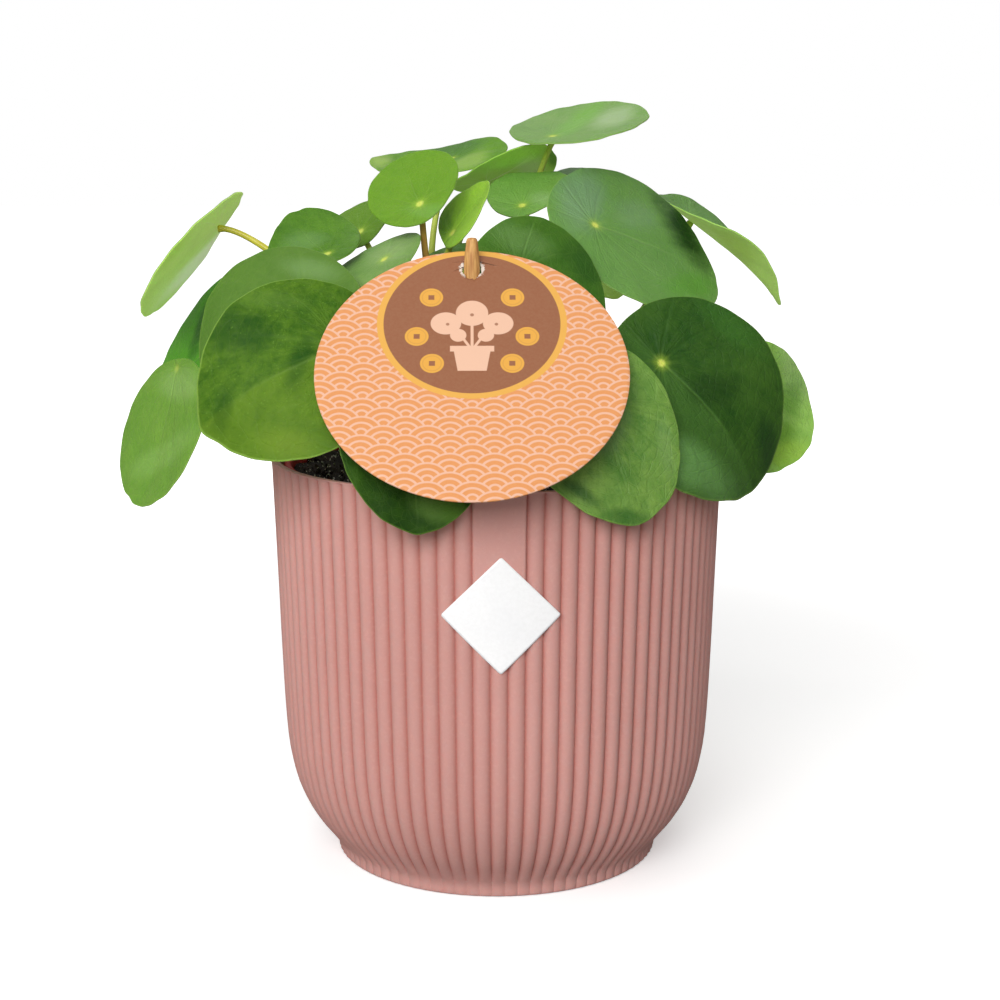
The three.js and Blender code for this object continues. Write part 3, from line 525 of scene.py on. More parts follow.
def leaf_skin(i, dark, light, under=(178, 210, 128), size=24.0, vein=0.06, net=0.03, vein_tone=(150, 186, 96), spot=0.78,
              mottle=0.5, margin=0.30, rough=0.46, rib=(0.12, (150, 186, 100)), sheen_shade_and_tone_patches=(), under_sheen_shade_and_tone_patches=(), fleck=0.0,
              streaks=0.25, specks=0.0, half=None, through=0.22, backlit=0.0, spec=0.22, relief=0.55, both=False):
    """dark and light: the two greens that the blade wanders between. A patch is (colour, amount, x, y, rx, ry, turn) on
    the blade, in shares of its radius; some patches are the leaf's own tone, others are painted sheen and painted
    shadow. half = (colour, amount, side) paints the blade lighter on the side of its midrib that side picks, a painted
    sheen along the fold."""
    s = Shader("leaf_%02d" % i)
    x, y, k = s.split(s.attr("lp"))
    up = s.attr("up", "Fac")
    seed = float(i) * 3.7
    r = s.math("SQRT", s.math("ADD", s.math("MULTIPLY", x, x), s.math("MULTIPLY", y, y)))
    a = s.math("ARCTAN2", y, x)
    plane = s.join(x, y, seed)
    # the spokes bow towards the tip and stand unevenly
    bow = s.math("ADD", a, s.math("MULTIPLY", s.math("MULTIPLY", r, s.math("SINE", a)), 0.30))
    around = s.join(s.math("COSINE", bow), s.math("SINE", bow), seed)
    uneven = s.math("ADD", bow, s.math("MULTIPLY", s.math("SUBTRACT", s.noise(around, 1.1, 2.0, 0.5), 0.5), 0.9))
    wander = s.math("MULTIPLY", s.math("SUBTRACT", s.noise(plane, 3.2, 3.0, 0.55), 0.5), 0.14)

    def spokes(count, half_width, reach):
        turn = s.math("MULTIPLY", s.math("ADD", uneven, wander), count / TAU)
        d = s.math("MULTIPLY", s.math("MULTIPLY", s.math("PINGPONG", turn, 0.5), TAU / count), r)
        return s.math("MULTIPLY", s.span(d, half_width, 0.0), s.span(r, reach[0], reach[1], 1.0, 0.0))
    main = spokes(8, 0.030, (0.25, 1.25))
    side = spokes(21, 0.020, (0.15, 1.0))
    mesh = s.span(s.cells(s.join(s.math("MULTIPLY", uneven, 2.3), s.math("MULTIPLY", r, 5.2), seed), 1.9,
                          "DISTANCE_TO_EDGE"), 0.09, 0.0)
    radial = s.noise(s.join(s.math("MULTIPLY", s.math("COSINE", uneven), 5.0), s.math("MULTIPLY", s.math("SINE", uneven), 5.0),
                            s.math("MULTIPLY", r, 1.4)), 1.5, 4.0, 0.6)
    cloud = s.noise(plane, 1.7, 4.0, 0.55)
    grain = s.noise(plane, 26.0, 3.0, 0.6)
    wrinkle = s.noise(s.join(s.math("ADD", x, s.math("MULTIPLY", cloud, 0.3)), y, seed), 9.0, 5.0, 0.62)

    tone = s.math("ADD", s.math("MULTIPLY", s.math("SUBTRACT", cloud, 0.5), 1.7 * mottle),
                  s.math("MULTIPLY", s.math("SUBTRACT", radial, 0.5), 1.5 * streaks))
    tone = s.math("ADD", tone, s.math("MULTIPLY", s.math("SUBTRACT", grain, 0.5), 0.55 * mottle))
    tone = s.math("ADD", tone, s.math("MULTIPLY", s.math("SUBTRACT", wrinkle, 0.5), 1.0 * mottle))
    tone = s.math("ADD", tone, 0.5, clamp=True)
    colour = s.mix(tone, srgb(*dark), srgb(*light))

    # a soft oval of colour on the blade: the leaf's own tones, and also painted sheen and painted shadow
    def patch(base, hue, amount, px, py, rx, ry, turn):
        dx, dy = s.math("SUBTRACT", x, px), s.math("SUBTRACT", y, py)
        c, n = math.cos(turn), math.sin(turn)
        ax = s.math("ADD", s.math("MULTIPLY", dx, c / rx), s.math("MULTIPLY", dy, n / rx))
        ay = s.math("SUBTRACT", s.math("MULTIPLY", dy, c / ry), s.math("MULTIPLY", dx, n / ry))
        d = s.math("SQRT", s.math("ADD", s.math("MULTIPLY", ax, ax), s.math("MULTIPLY", ay, ay)))
        d = s.math("ADD", d, s.math("MULTIPLY", s.math("SUBTRACT", cloud, 0.5), 0.9))
        d = s.math("ADD", d, s.math("MULTIPLY", s.math("SUBTRACT", radial, 0.5), 0.45))
        return s.mix(s.span(d, 1.35, 0.35, 0.0, amount), base, srgb(*hue))
    # painted sheen: the blade is lighter on one side of its midrib fold
    if half:
        colour = s.mix(s.span(y, -0.06 * half[2], 0.03 * half[2], 0.0, half[1]), colour, srgb(*half[0]))
    # patches: the leaf's own tones, with painted sheen and painted shadow among them
    for q in sheen_shade_and_tone_patches:
        colour = patch(colour, *q)
    veins = s.math("MAXIMUM", s.math("MAXIMUM", main, s.math("MULTIPLY", side, 0.55)), s.math("MULTIPLY", mesh, net / max(vein, 0.01)))
    colour = s.mix(s.math("MULTIPLY", veins, vein), colour, srgb(*vein_tone))
    along = s.math("MULTIPLY", s.span(x, 0.0, 0.05), s.span(x, 1.3, 0.5))
    line = s.span(s.math("ABSOLUTE", s.math("ADD", y, s.math("MULTIPLY", s.math("SUBTRACT", cloud, 0.5), 0.10))), 0.028, 0.0)
    midrib = s.math("MULTIPLY", line, along)
    colour = s.mix(s.math("MULTIPLY", midrib, rib[0]), colour, srgb(*rib[1]))
    if specks:
        bits = s.span(s.cells(plane, 22.0), 0.26, 0.08)
        where = s.span(s.noise(plane, 4.0, 2.0, 0.5), 0.42, 0.62)
        colour = s.mix(s.math("MULTIPLY", s.math("MULTIPLY", bits, where), specks), colour, srgb(118, 160, 60))
    if fleck:
        dots = s.span(s.cells(plane, 13.0), 0.10, 0.04)
        picked = s.span(s.noise(plane, 5.0, 2.0, 0.5), 0.50, 0.60)
        colour = s.mix(s.math("MULTIPLY", s.math("MULTIPLY", dots, picked), fleck), colour, srgb(226, 234, 214))
    # pale joint with a soft glow
    core = s.span(r, 1.7 / size, 0.5 / size)
    glow = s.span(r, 3.6 / size, 0.8 / size)
    colour = s.mix(s.math("MULTIPLY", s.math("ADD", glow, s.math("MULTIPLY", s.math("MULTIPLY", main, s.span(r, 6.0 / size, 1.5 / size)), 0.2)), spot * 0.42),
                   colour, srgb(168, 200, 70))
    colour = s.mix(s.math("MULTIPLY", core, spot), colour, srgb(226, 236, 110))
    edge = s.span(k, 0.984, 0.998)
    colour = s.mix(s.math("MULTIPLY", edge, margin), colour, srgb(150, 186, 84))
    # underside
    back = s.mix(s.math("ADD", s.math("MULTIPLY", s.math("SUBTRACT", cloud, 0.5), 1.2), 0.5, clamp=True),
                 tuple(c * 0.80 for c in srgb(*under)), srgb(*under))
    # underside patches: own tones, with painted sheen and painted shade among them
    for q in under_sheen_shade_and_tone_patches:
        back = patch(back, *q)
    back = s.mix(s.math("MULTIPLY", s.math("MAXIMUM", s.math("MULTIPLY", main, 0.7), s.math("MULTIPLY", side, 0.3)), 0.3), back, srgb(196, 208, 158))
    back = s.mix(s.math("MULTIPLY", midrib, 0.5), back, srgb(204, 216, 150))
    # painted glow: emission stands in for light that comes through the blade
    if backlit:  # light that comes through the blade
        s.set(Emission_Color=back if both else s.mix(s.span(up, 0.35, 0.65), back, (0.0, 0.0, 0.0)), Emission_Strength=backlit)
    colour = s.mix(s.span(up, 0.35, 0.65), back, colour)
    s.set(Base_Color=colour,
          Roughness=s.math("ADD", s.span(grain, 0.2, 0.8, rough - 0.05, rough + 0.07, linear=True), s.span(up, 0.35, 0.65, 0.14, 0.0)),
          Specular_IOR_Level=spec, Subsurface_Weight=through, Subsurface_Radius=(0.6, 1.0, 0.18), Subsurface_Scale=0.0012)
    height = s.math("SUBTRACT", s.math("ADD", s.math("MULTIPLY", radial, 0.9), s.math("MULTIPLY", grain, 0.35)), s.math("MULTIPLY", veins, 0.4))
    height = s.math("ADD", s.math("SUBTRACT", height, s.math("MULTIPLY", midrib, 0.5)), s.math("MULTIPLY", wrinkle, 1.1))
    s.set(Normal=s.bump(height, relief, 0.00045))
    return s.m


def wood():
    s = Shader("light_wood")
    p = s.place()
    grain = s.noise(s.vmath("MULTIPLY", p, (1.0, 1.0, 0.06)), 1500.0, 4.0, 0.6)
    broad = s.noise(s.vmath("MULTIPLY", p, (1.0, 1.0, 0.2)), 300.0, 2.0, 0.5)
    base = s.mix(s.span(grain, 0.3, 0.7), srgb(178, 122, 64), srgb(222, 174, 104))
    base = s.mix(s.math("MULTIPLY", s.span(broad, 0.5, 0.75), 0.4), base, srgb(150, 98, 48))
    s.set(Base_Color=base, Roughness=0.62)
    s.set(Normal=s.bump(grain, 0.5, 0.0003))
    return s.m


def label_paper():
    s = Shader("label_paper")
    p = s.place()
    n = s.noise(p, 900.0, 4.0, 0.6)
    b = s.noise(p, 60.0, 2.0, 0.5)
    base = s.mix(s.span(n, 0.3, 0.7), srgb(248, 248, 248), srgb(253, 253, 253))
    base = s.mix(s.math("MULTIPLY", s.span(b, 0.4, 0.7), 0.25), base, srgb(240, 240, 242))
    s.set(Base_Color=base, Roughness=0.42, Coat_Weight=0.1)
    s.set(Normal=s.bump(n, 0.10, 0.0001))
    return s.m


def printed_card():
    s = Shader("printed_card")
    x, y, face = s.split(s.attr("cp"))  # millimetres on the card, and 1 on the printed face

    # waves: rows of overlapping fans, each lower row over the one above it
    period, step, fan, band = 12.1, 3.09, 6.05, 2.03
    row = s.math("CEIL", s.math("DIVIDE", s.math("SUBTRACT", y, fan), step))
    odd = s.math("FLOORED_MODULO", row, 2.0)
    shift0 = s.math("MULTIPLY", odd, period / 2)
    shift1 = s.math("SUBTRACT", period / 2, shift0)
    found = None
    dist = []
    for j in range(4):
        dx = s.math("PINGPONG", s.math("ADD", x, shift0 if j % 2 == 0 else shift1), period / 2)
        dy = s.math("SUBTRACT", y, s.math("MULTIPLY", s.math("ADD", row, float(j)), step))
        dist.append(s.math("SQRT", s.math("ADD", s.math("MULTIPLY", dx, dx), s.math("MULTIPLY", dy, dy))))
    pick = dist[3]
    for j in (2, 1, 0):
        inside = s.math("LESS_THAN", dist[j], fan)
        pick = s.math("ADD", s.math("MULTIPLY", inside, dist[j]), s.math("MULTIPLY", s.math("SUBTRACT", 1.0, inside), pick))
    ring = s.math("FRACT", s.math("DIVIDE", s.math("SUBTRACT", fan, pick), band))
    line = s.math("MAXIMUM", s.span(ring, 0.36, 0.26), s.span(ring, 0.93, 0.99))
    ink = s.noise(s.join(x, y, 1.0), 1.3, 3.0, 0.5)
    orange = s.mix(s.span(ink, 0.3, 0.7), CARD_ORANGE, CARD_ORANGE_2)
    colour = s.mix(line, orange, CARD_PEACH)

    # gold ring round a brown disc
    def circle(cx, cy, r, soft=0.12, sx=1.0, sy=1.0):
        ax = s.math("MULTIPLY", s.math("SUBTRACT", x, cx), 1.0 / sx)
        ay = s.math("MULTIPLY", s.math("SUBTRACT", y, cy), 1.0 / sy)
        d = s.math("SQRT", s.math("ADD", s.math("MULTIPLY", ax, ax), s.math("MULTIPLY", ay, ay)))
        return s.span(d, r + soft, r - soft)

    def box(cx, cy, hx, hy, soft=0.12, taper=0.0, turn=0.0):
        c, n = math.cos(turn), math.sin(turn)
        px, py = s.math("SUBTRACT", x, cx), s.math("SUBTRACT", y, cy)
        if turn:
            px, py = (s.math("ADD", s.math("MULTIPLY", px, c), s.math("MULTIPLY", py, n)),
                      s.math("SUBTRACT", s.math("MULTIPLY", py, c), s.math("MULTIPLY", px, n)))
        wide = s.math("ADD", hx, s.math("MULTIPLY", py, taper)) if taper else hx
        dx = s.math("SUBTRACT", s.math("ABSOLUTE", px), wide)
        dy = s.math("SUBTRACT", s.math("ABSOLUTE", py), hy)
        return s.span(s.math("MAXIMUM", dx, dy), soft, -soft)

    def either(*shapes):
        out = shapes[0]
        for q in shapes[1:]:
            out = s.math("MAXIMUM", out, q)
        return out
    cy = 17.1
    colour = s.mix(circle(0, cy, 26.9), colour, CARD_GOLD)
    brown = s.mix(s.span(ink, 0.3, 0.7), CARD_BROWN, CARD_BROWN_2)
    colour = s.mix(circle(0, cy, 25.05), colour, brown)
    # a round-leaved plant in a little pot
    pot = either(box(0, cy - 13.6, 4.6, 3.6, taper=0.16), box(0, cy - 9.4, 6.2, 1.0))
    stems = either(box(0, cy - 4.0, 0.42, 5.0), box(-3.0, cy - 5.0, 0.40, 5.2, turn=0.55), box(3.0, cy - 5.0, 0.40, 5.2, turn=-0.55))
    leaves = either(circle(0, cy + 3.4, 4.6), circle(-7.4, cy - 0.3, 4.0, sx=1.08), circle(7.4, cy - 0.3, 4.0, sx=1.08),
                    circle(-3.9, cy - 4.6, 2.3), circle(3.9, cy - 4.6, 2.3))
    colour = s.mix(either(pot, stems, leaves), colour, CARD_PINK)
    eyes = either(circle(0, cy + 2.8, 0.55), circle(-6.9, cy - 0.6, 0.5), circle(6.9, cy - 0.6, 0.5))
    colour = s.mix(s.math("MULTIPLY", eyes, 0.8), colour, CARD_BROWN)
    # plain coins with square holes
    for kx, ky in ((-15.6, -5.0), (15.6, -5.0), (-11.2, -14.6), (11.2, -14.6), (-11.6, 9.2), (11.6, 9.2)):
        colour = s.mix(circle(kx, cy + ky, 3.35), colour, CARD_COIN)
        colour = s.mix(s.math("MULTIPLY", s.math("SUBTRACT", circle(kx, cy + ky, 2.75), circle(kx, cy + ky, 2.45)), 0.6), colour, CARD_COIN_2)
        colour = s.mix(box(kx, cy + ky, 0.85, 0.85), colour, brown)
    # torn white paper round the hole
    hx, hy = s.math("SUBTRACT", x, 0.0), s.math("SUBTRACT", y, HOLE_UP)
    hd = s.math("SQRT", s.math("ADD", s.math("MULTIPLY", hx, hx), s.math("MULTIPLY", hy, hy)))
    torn = s.math("ADD", hd, s.math("MULTIPLY", s.math("SUBTRACT", s.noise(s.join(x, y, 7.0), 1.6, 3.0, 0.6), 0.5), 2.4))
    colour = s.mix(s.math("MULTIPLY", s.span(torn, 3.9, 3.2), 0.85), colour, srgb(236, 226, 214))
    colour = s.mix(s.span(face, 0.4, 0.6), s.mix(s.span(ink, 0.3, 0.7), srgb(238, 230, 218), srgb(246, 240, 230)), colour)
    fibre = s.noise(s.join(s.math("MULTIPLY", x, 3.0), s.math("MULTIPLY", y, 3.0), 0.0), 2.0, 3.0, 0.6)
    s.set(Base_Color=colour, Roughness=s.span(fibre, 0.3, 0.7, 0.46, 0.56, linear=True), Specular_IOR_Level=0.35)
    s.set(Normal=s.bump(fibre, 0.06, 0.0001))
    return s.m


CARD_PEACH = srgb(227, 178, 150)
CARD_ORANGE = srgb(218, 145, 87)
CARD_ORANGE_2 = srgb(220, 149, 91)
CARD_GOLD = srgb(224, 168, 76)
CARD_BROWN = srgb(146, 92, 62)
CARD_BROWN_2 = srgb(149, 98, 68)
CARD_PINK = srgb(228, 184, 156)
CARD_COIN = srgb(223, 164, 68)
CARD_COIN_2 = srgb(200, 146, 68)


# ---- outer pot ----------------------------------------------------------------------
crest_of = pchip([z for r, z in POT_CREST], [r for r, z in POT_CREST])


def crest(z):
    z = np.asarray(z, float)
    return np.where(z > POT_CREST[-1][1], np.minimum(POT_CREST[-1][0] + (z - POT_CREST[-1][1]) * 0.12, POT_RIM_R), crest_of(np.clip(z, 0.7, POT_CREST[-1][1])))


def make_pot():
    within = np.array([0.0, 0.035, 0.09, 0.17, 0.28, 0.42, 0.58, 0.72, 0.83, 0.91, 0.965])
    cols = FLUTES * len(within)
    t = np.tile(within, FLUTES)
    flute = np.repeat(np.arange(FLUTES), len(within))
    theta = np.radians(FLUTE_START) + (flute + t) * TAU / FLUTES
    depth = 1.5
    lobe = np.abs(2 * t - 1) ** 2.05 * 0.92 + np.exp(-(np.minimum(t, 1 - t) / 0.04) ** 2) * 0.08
    panel = flute < PANEL_FLUTES
    edge_lobe = np.zeros(cols)
    first, last = flute == 0, flute == PANEL_FLUTES - 1
    edge_lobe[first] = np.exp(-(t[first] / 0.05) ** 2)
    edge_lobe[last] = np.maximum(edge_lobe[last], np.exp(-((1 - t[last]) / 0.05) ** 2))

    rows = []  # r, z, share of the flute depth, share of the plain panel
    for r, z in [(0.0, 0.0), (16, 0.0), (29.9, 0.0), (30.7, 0.12), (31.0, 0.45), (31.15, 1.0), (31.6, 1.2), (37, 1.2), (43.4, 1.2),
                 (43.85, 1.0), (44.0, 0.45), (44.3, 0.12), (45.1, 0.0), (49.2, 0.0), (49.9, 0.06), (50.4, 0.25)]:
        rows.append((r, z, 0.0, 0.0))
    zs = np.concatenate([
        [0.5, 0.8, 1.4, 2.1, 2.9, 3.6, 4.3, 5.0, 5.8, 6.7, 7.7, 8.8, 10, 11.4, 13, 14.8, 16.8, 19, 21.5, 24.2, 27.2, 30.5, 34.2, 38.5,
         44, 50, 57, 65, 73, 80, 82.2, 83.0, 83.6, 84.2, 84.9, 85.8, 87, 92, 98, 104, 110, 115, 119, 121.5, 122.8],
        np.linspace(123.8, FLUTE_TOP, 9)])
    for z in zs:
        top = 1.0
        if z > FLUTE_TOP - 0.8:
            top = math.sqrt(max(0.0, 1 - ((z - FLUTE_TOP + 0.8) / 0.8) ** 2))
        if z > FLUTE_TOP:
            top = 0.0
        foot = 0.34 + 0.66 * smooth(2.0, 11.0, z)
        plain = float(smooth(PANEL_BOTTOM - 1.2, PANEL_BOTTOM + 1.2, z))
        r = float(crest(z)) if z >= 0.7 else 50.8
        rows.append((r, z, top * float(foot), plain))
    for q in (0.1, 0.5, 0.85, 1.2, 1.57):
        rows.append((POT_RIM_R - 0.28 * (1 - math.cos(q)), POT_HEIGHT - 0.28 + 0.28 * math.sin(q), 0, 0))
    rows += [(POT_RIM_R - 0.9, POT_HEIGHT, 0, 0), (POT_RIM_R - 1.7, POT_HEIGHT - 0.04, 0, 0), (POT_RIM_R - 2.1, POT_HEIGHT - 0.2, 0, 0),
             (POT_RIM_R - 2.4, POT_HEIGHT - 0.5, 0, 0), (POT_RIM_R - POT_WALL, POT_HEIGHT - 1.0, 0, 0)]
    for z in (124, 116, 106, 90, 68, 46, 36, 28, 21, 15, 11, 8.2, 6.4):
        rows.append((float(crest(z)) - POT_WALL, z, 0, 0))
    rows += [(51.6, 5.0, 0, 0), (50.3, 4.0, 0, 0), (48.6, 3.3, 0, 0), (46.6, POT_FLOOR, 0, 0), (30, POT_FLOOR, 0, 0), (12, POT_FLOOR, 0, 0)]

    R = np.array([q[0] for q in rows[1:]])[:, None]
    Z = np.array([q[1] for q in rows[1:]])[:, None]
    share = np.array([q[2] for q in rows[1:]])[:, None]
    plain = np.array([q[3] for q in rows[1:]])[:, None]
    sag = np.where(panel[None, :], lobe[None, :] * (1 - plain) + edge_lobe[None, :] * plain, lobe[None, :]) * share
    rr = R - depth * sag
    x = rr * np.sin(theta)[None, :]
    y = -rr * np.cos(theta)[None, :]
    z = np.broadcast_to(Z, x.shape)
    body = np.stack([x, y, z], -1).reshape(-1, 3)
    verts = np.concatenate([[[0, 0, 0]], body, [[0, 0, POT_FLOOR]]])
    n = len(rows) - 1
    quads = ring_faces(n, cols, offset=1)
    j = np.arange(cols)
    k = (j + 1) % cols
    last_row = 1 + (n - 1) * cols
    tris = np.concatenate([np.stack([np.zeros(cols, int), 1 + k, 1 + j], -1),
                           np.stack([np.full(cols, len(verts) - 1), last_row + j, last_row + k], -1)])
    # depth of each groove, kept as the mask of the painted groove shade
    groove_shade = np.concatenate([[0], np.clip(sag * 1.0, 0, 1).ravel() ** 2.2, [0]])
    return belongs(build("pot_outer", verts, quads, tris, rose_plastic(), [("groove_shade", groove_shade)]), "outer_pot", "outer_pot")


make_pot()

# ---- nursery pot ------------------------------------------------------------------------
rim_low = NURSERY_TOP - NURSERY_RIM_H


def nursery_at(z):
    return NURSERY_BASE_R + (NURSERY_TOP_R - NURSERY_BASE_R) * (z - NURSERY_BASE) / (rim_low - NURSERY_BASE)


profile = [(0, NURSERY_BASE), (20, NURSERY_BASE), (NURSERY_BASE_R - 1.6, NURSERY_BASE), (NURSERY_BASE_R - 0.5, NURSERY_BASE + 0.3), (NURSERY_BASE_R, NURSERY_BASE + 1.1)]
profile += [(float(nursery_at(z)), z) for z in (12, 24, 40, 56, 72, 88, 100, 110, 117)]
profile += [(NURSERY_TOP_R - 0.05, rim_low - 0.25), (NURSERY_TOP_R + 0.2, rim_low), (NURSERY_RIM_R - 0.6, rim_low + 0.02), (NURSERY_RIM_R - 0.15, rim_low + 0.3),
            (NURSERY_RIM_R, rim_low + 0.9), (NURSERY_RIM_R, NURSERY_TOP - 1.0), (NURSERY_RIM_R - 0.12, NURSERY_TOP - 0.5), (NURSERY_RIM_R - 0.45, NURSERY_TOP - 0.1),
            (NURSERY_RIM_R - 0.9, NURSERY_TOP), (NURSERY_TOP_R - 0.4, NURSERY_TOP), (NURSERY_TOP_R - 0.75, NURSERY_TOP - 0.1), (NURSERY_TOP_R - 1.02, NURSERY_TOP - 0.4),
            (NURSERY_TOP_R - NURSERY_WALL, NURSERY_TOP - 1.1)]
profile += [(NURSERY_TOP_R - NURSERY_WALL, rim_low)] + [(float(nursery_at(z)) - NURSERY_WALL, z) for z in (108, 92, 70, 46, 24, 8)]
profile += [(NURSERY_BASE_R - 2.2, NURSERY_BASE + 1.6), (20, NURSERY_BASE + 1.4), (0, NURSERY_BASE + 1.4)]
v, q, t = revolve(profile, 192)
belongs(build("pot_nursery", v, q, t, terracotta_plastic()), "nursery_pot", "nursery_pot")


# ---- soil ----------------------------------------------------------------------------------
tag_n = unit(TAG_N)
tag_u = unit(vec(TAG_U) - tag_n * (vec(TAG_U) @ tag_n))
tag_v = np.cross(tag_n, tag_u)
hole = vec(TAG_AT) + tag_v * HOLE_UP


def soil_height(x, y):
    p = np.stack([x, y, np.zeros_like(x)], -1).reshape(-1, 3)
    h = 1.0 * ripple(p, 11.0, 5, 3) + 0.55 * ripple(p, 3.4, 6, 4) + 0.25 * np.abs(ripple(p, 1.5, 7, 3))
    h = h.reshape(np.shape(x))
    r = np.hypot(x, y)
    h = h + 0.9 * smooth(46, 62, r) - 0.3
    mound = 1.3 * np.exp(-((x + 12) ** 2 + (y - 4.5) ** 2) / 60.0)
    return np.clip(SOIL_TOP + 0.9 + h + mound, SOIL_TOP - 0.8, SOIL_TOP + 3.0)


def make_soil():
    mat = peat()
    cols, rings = 220, 64
    a = np.arange(cols) * TAU / cols
    wall = lambda z: float(nursery_at(z)) - NURSERY_WALL - 0.35
    rad = np.linspace(0.0, 1.0, rings + 1)[1:]
    rows_r, rows_z = [], []
    for s in (0.35, 0.8, 1.0):
        rows_r.append(np.full(cols, wall(5.4) * s))
        rows_z.append(np.full(cols, 5.2))
    for z in (20, 45, 70, 95, 108, 114):
        rows_r.append(np.full(cols, wall(z)))
        rows_z.append(np.full(cols, z))
    for s in rad[::-1]:
        r = np.full(cols, wall(SOIL_TOP) * s)
        rows_r.append(r)
        rows_z.append(soil_height(r * np.sin(a), -r * np.cos(a)))
    r, z = np.array(rows_r), np.array(rows_z)
    body = np.stack([r * np.sin(a), -r * np.cos(a), z], -1).reshape(-1, 3)
    verts = np.concatenate([[[0, 0, 5.2]], body, [[0, 0, float(soil_height(np.zeros(1), np.zeros(1))[0])]]])
    n = len(rows_r)
    quads = ring_faces(n, cols, offset=1)
    j = np.arange(cols)
    k = (j + 1) % cols
    last = 1 + (n - 1) * cols
    tris = np.concatenate([np.stack([np.zeros(cols, int), 1 + k, 1 + j], -1), np.stack([np.full(cols, len(verts) - 1), last + j, last + k], -1)])
    belongs(build("soil_body", verts, quads, tris, mat), "soil", "potting_soil")

    # crumbs and grains lying on it
    bpy_ball = [(0, 0, 1), (0.894, 0, 0.447), (0.276, 0.851, 0.447), (-0.724, 0.526, 0.447), (-0.724, -0.526, 0.447), (0.276, -0.851, 0.447),
                (0.724, 0.526, -0.447), (-0.276, 0.851, -0.447), (-0.894, 0, -0.447), (-0.276, -0.851, -0.447), (0.724, -0.526, -0.447), (0, 0, -1)]
    tri0 = [(0, 1, 2), (0, 2, 3), (0, 3, 4), (0, 4, 5), (0, 5, 1), (1, 6, 2), (2, 7, 3), (3, 8, 4), (4, 9, 5), (5, 10, 1),
            (2, 6, 7), (3, 7, 8), (4, 8, 9), (5, 9, 10), (1, 10, 6), (6, 11, 7), (7, 11, 8), (8, 11, 9), (9, 11, 10), (10, 11, 6)]
    ball, tri = [vec(b) for b in bpy_ball], []
    seen = {}

    def middle(i, j):
        key = (min(i, j), max(i, j))
        if key not in seen:
            ball.append(unit(ball[i] + ball[j]))
            seen[key] = len(ball) - 1
        return seen[key]
    for i, j, k in tri0:
        ij, jk, ki = middle(i, j), middle(j, k), middle(k, i)
        tri += [(i, ij, ki), (j, jk, ij), (k, ki, jk), (ij, jk, ki)]
    ball, tri = np.array(ball), np.array(tri)

    def scatter(name, count, low, high, squash, seed, material, lift):
        rng = np.random.default_rng(seed)
        vs, ts = [], []
        tries = 0
        while len(vs) < count and tries < count * 4:
            tries += 1
            r, th = 62.4 * math.sqrt(rng.uniform(0, 1)), rng.uniform(0, TAU)
            x, y = r * math.sin(th), -r * math.cos(th)
            size = low + (high - low) * rng.uniform(0, 1) ** 2.2
            if math.hypot(x - hole[0], y - hole[1]) < 3.4 + size or math.hypot(x + 12, y - 4.3) < 4.0 + size:
                continue
            shape = ball * (1 + 0.20 * ripple(ball * 2.0 + rng.uniform(0, 90, 3), 1.1, int(rng.integers(1, 9)), 2))[:, None]
            shape = shape * np.array([1.0, rng.uniform(0.55, 1.0), rng.uniform(squash, 1.0)]) * size
            m = rng.normal(size=(3, 3))
            qm, _ = np.linalg.qr(m)
            shape = shape @ (qm * 0.35 + np.eye(3) * 0.65)
            z = float(soil_height(np.array([x]), np.array([y]))[0]) + size * lift
            shape = shape + [x, y, min(z, NURSERY_TOP - 0.4 - size * 0.8)]
            ts.append(tri + len(vs) * len(ball))
            vs.append(shape)
        belongs(build(name, np.concatenate(vs), [], np.concatenate(ts), material), "soil")
    scatter("soil_crumbs", 1200, 0.35, 1.7, 0.45, 11, mat, 0.35)
    scatter("soil_grit", 1500, 0.16, 0.66, 0.6, 12, perlite(), 0.55)


make_soil()


# ---- leaves and petioles --------------------------------------------------------------------
def stem_axis(z):
    p0, p1, p2 = map(vec, STEM_PATH)
    lo, hi = 0.0, 1.0
    for _ in range(30):
        t = (lo + hi) / 2
        if ((1 - t) ** 2 * p0 + 2 * t * (1 - t) * p1 + t * t * p2)[2] < z:
            lo = t
        else:
            hi = t
    return (1 - lo) ** 2 * p0 + 2 * lo * (1 - lo) * p1 + lo * lo * p2


def bezier(p0, p1, p2, p3, steps):
    t = np.linspace(0, 1, steps)[:, None]
    return (1 - t) ** 3 * p0 + 3 * t * (1 - t) ** 2 * p1 + 3 * t * t * (1 - t) * p2 + t ** 3 * p3


def through(points, steps):
    """Smooth curve through the points, its speed set by the square root of their spacing."""
    p = [vec(q) for q in points]
    out = []
    for s in np.linspace(0, len(p) - 1, steps):
        i = min(int(s), len(p) - 2)
        w = s - i
        a = p[i - 1] if i > 0 else 2 * p[0] - p[1]
        b, c = p[i], p[i + 1]
        d = p[i + 2] if i + 2 < len(p) else 2 * p[-1] - p[-2]
        d0, d1, d2 = (max(1e-4, np.linalg.norm(v) ** 0.5) for v in (b - a, c - b, d - c))
        t1 = ((b - a) / d0 - (c - a) / (d0 + d1) + (c - b) / d1) * d1
        t2 = ((c - b) / d1 - (d - b) / (d1 + d2) + (d - c) / d2) * d1
        out.append((2 * w**3 - 3 * w**2 + 1) * b + (w**3 - 2 * w**2 + w) * t1 + (-2 * w**3 + 3 * w**2) * c + (w**3 - w**2) * t2)
    return np.array(out)


def blade_edge(l, a):
    q = (a + math.pi) % TAU - math.pi
    k = (1 + l["a2"] * np.cos(2 * a) + l["a3"] * np.cos(3 * a) + l["b2"] * np.sin(2 * a) + l["b3"] * np.sin(3 * a)
         + l["tip"] * np.exp(-np.sqrt(q * q + 0.0016) / 0.30))
    return l["off"] * l["R"] + l["R"] * k * np.cos(a), l["R"] * l["w"] * k * np.sin(a)


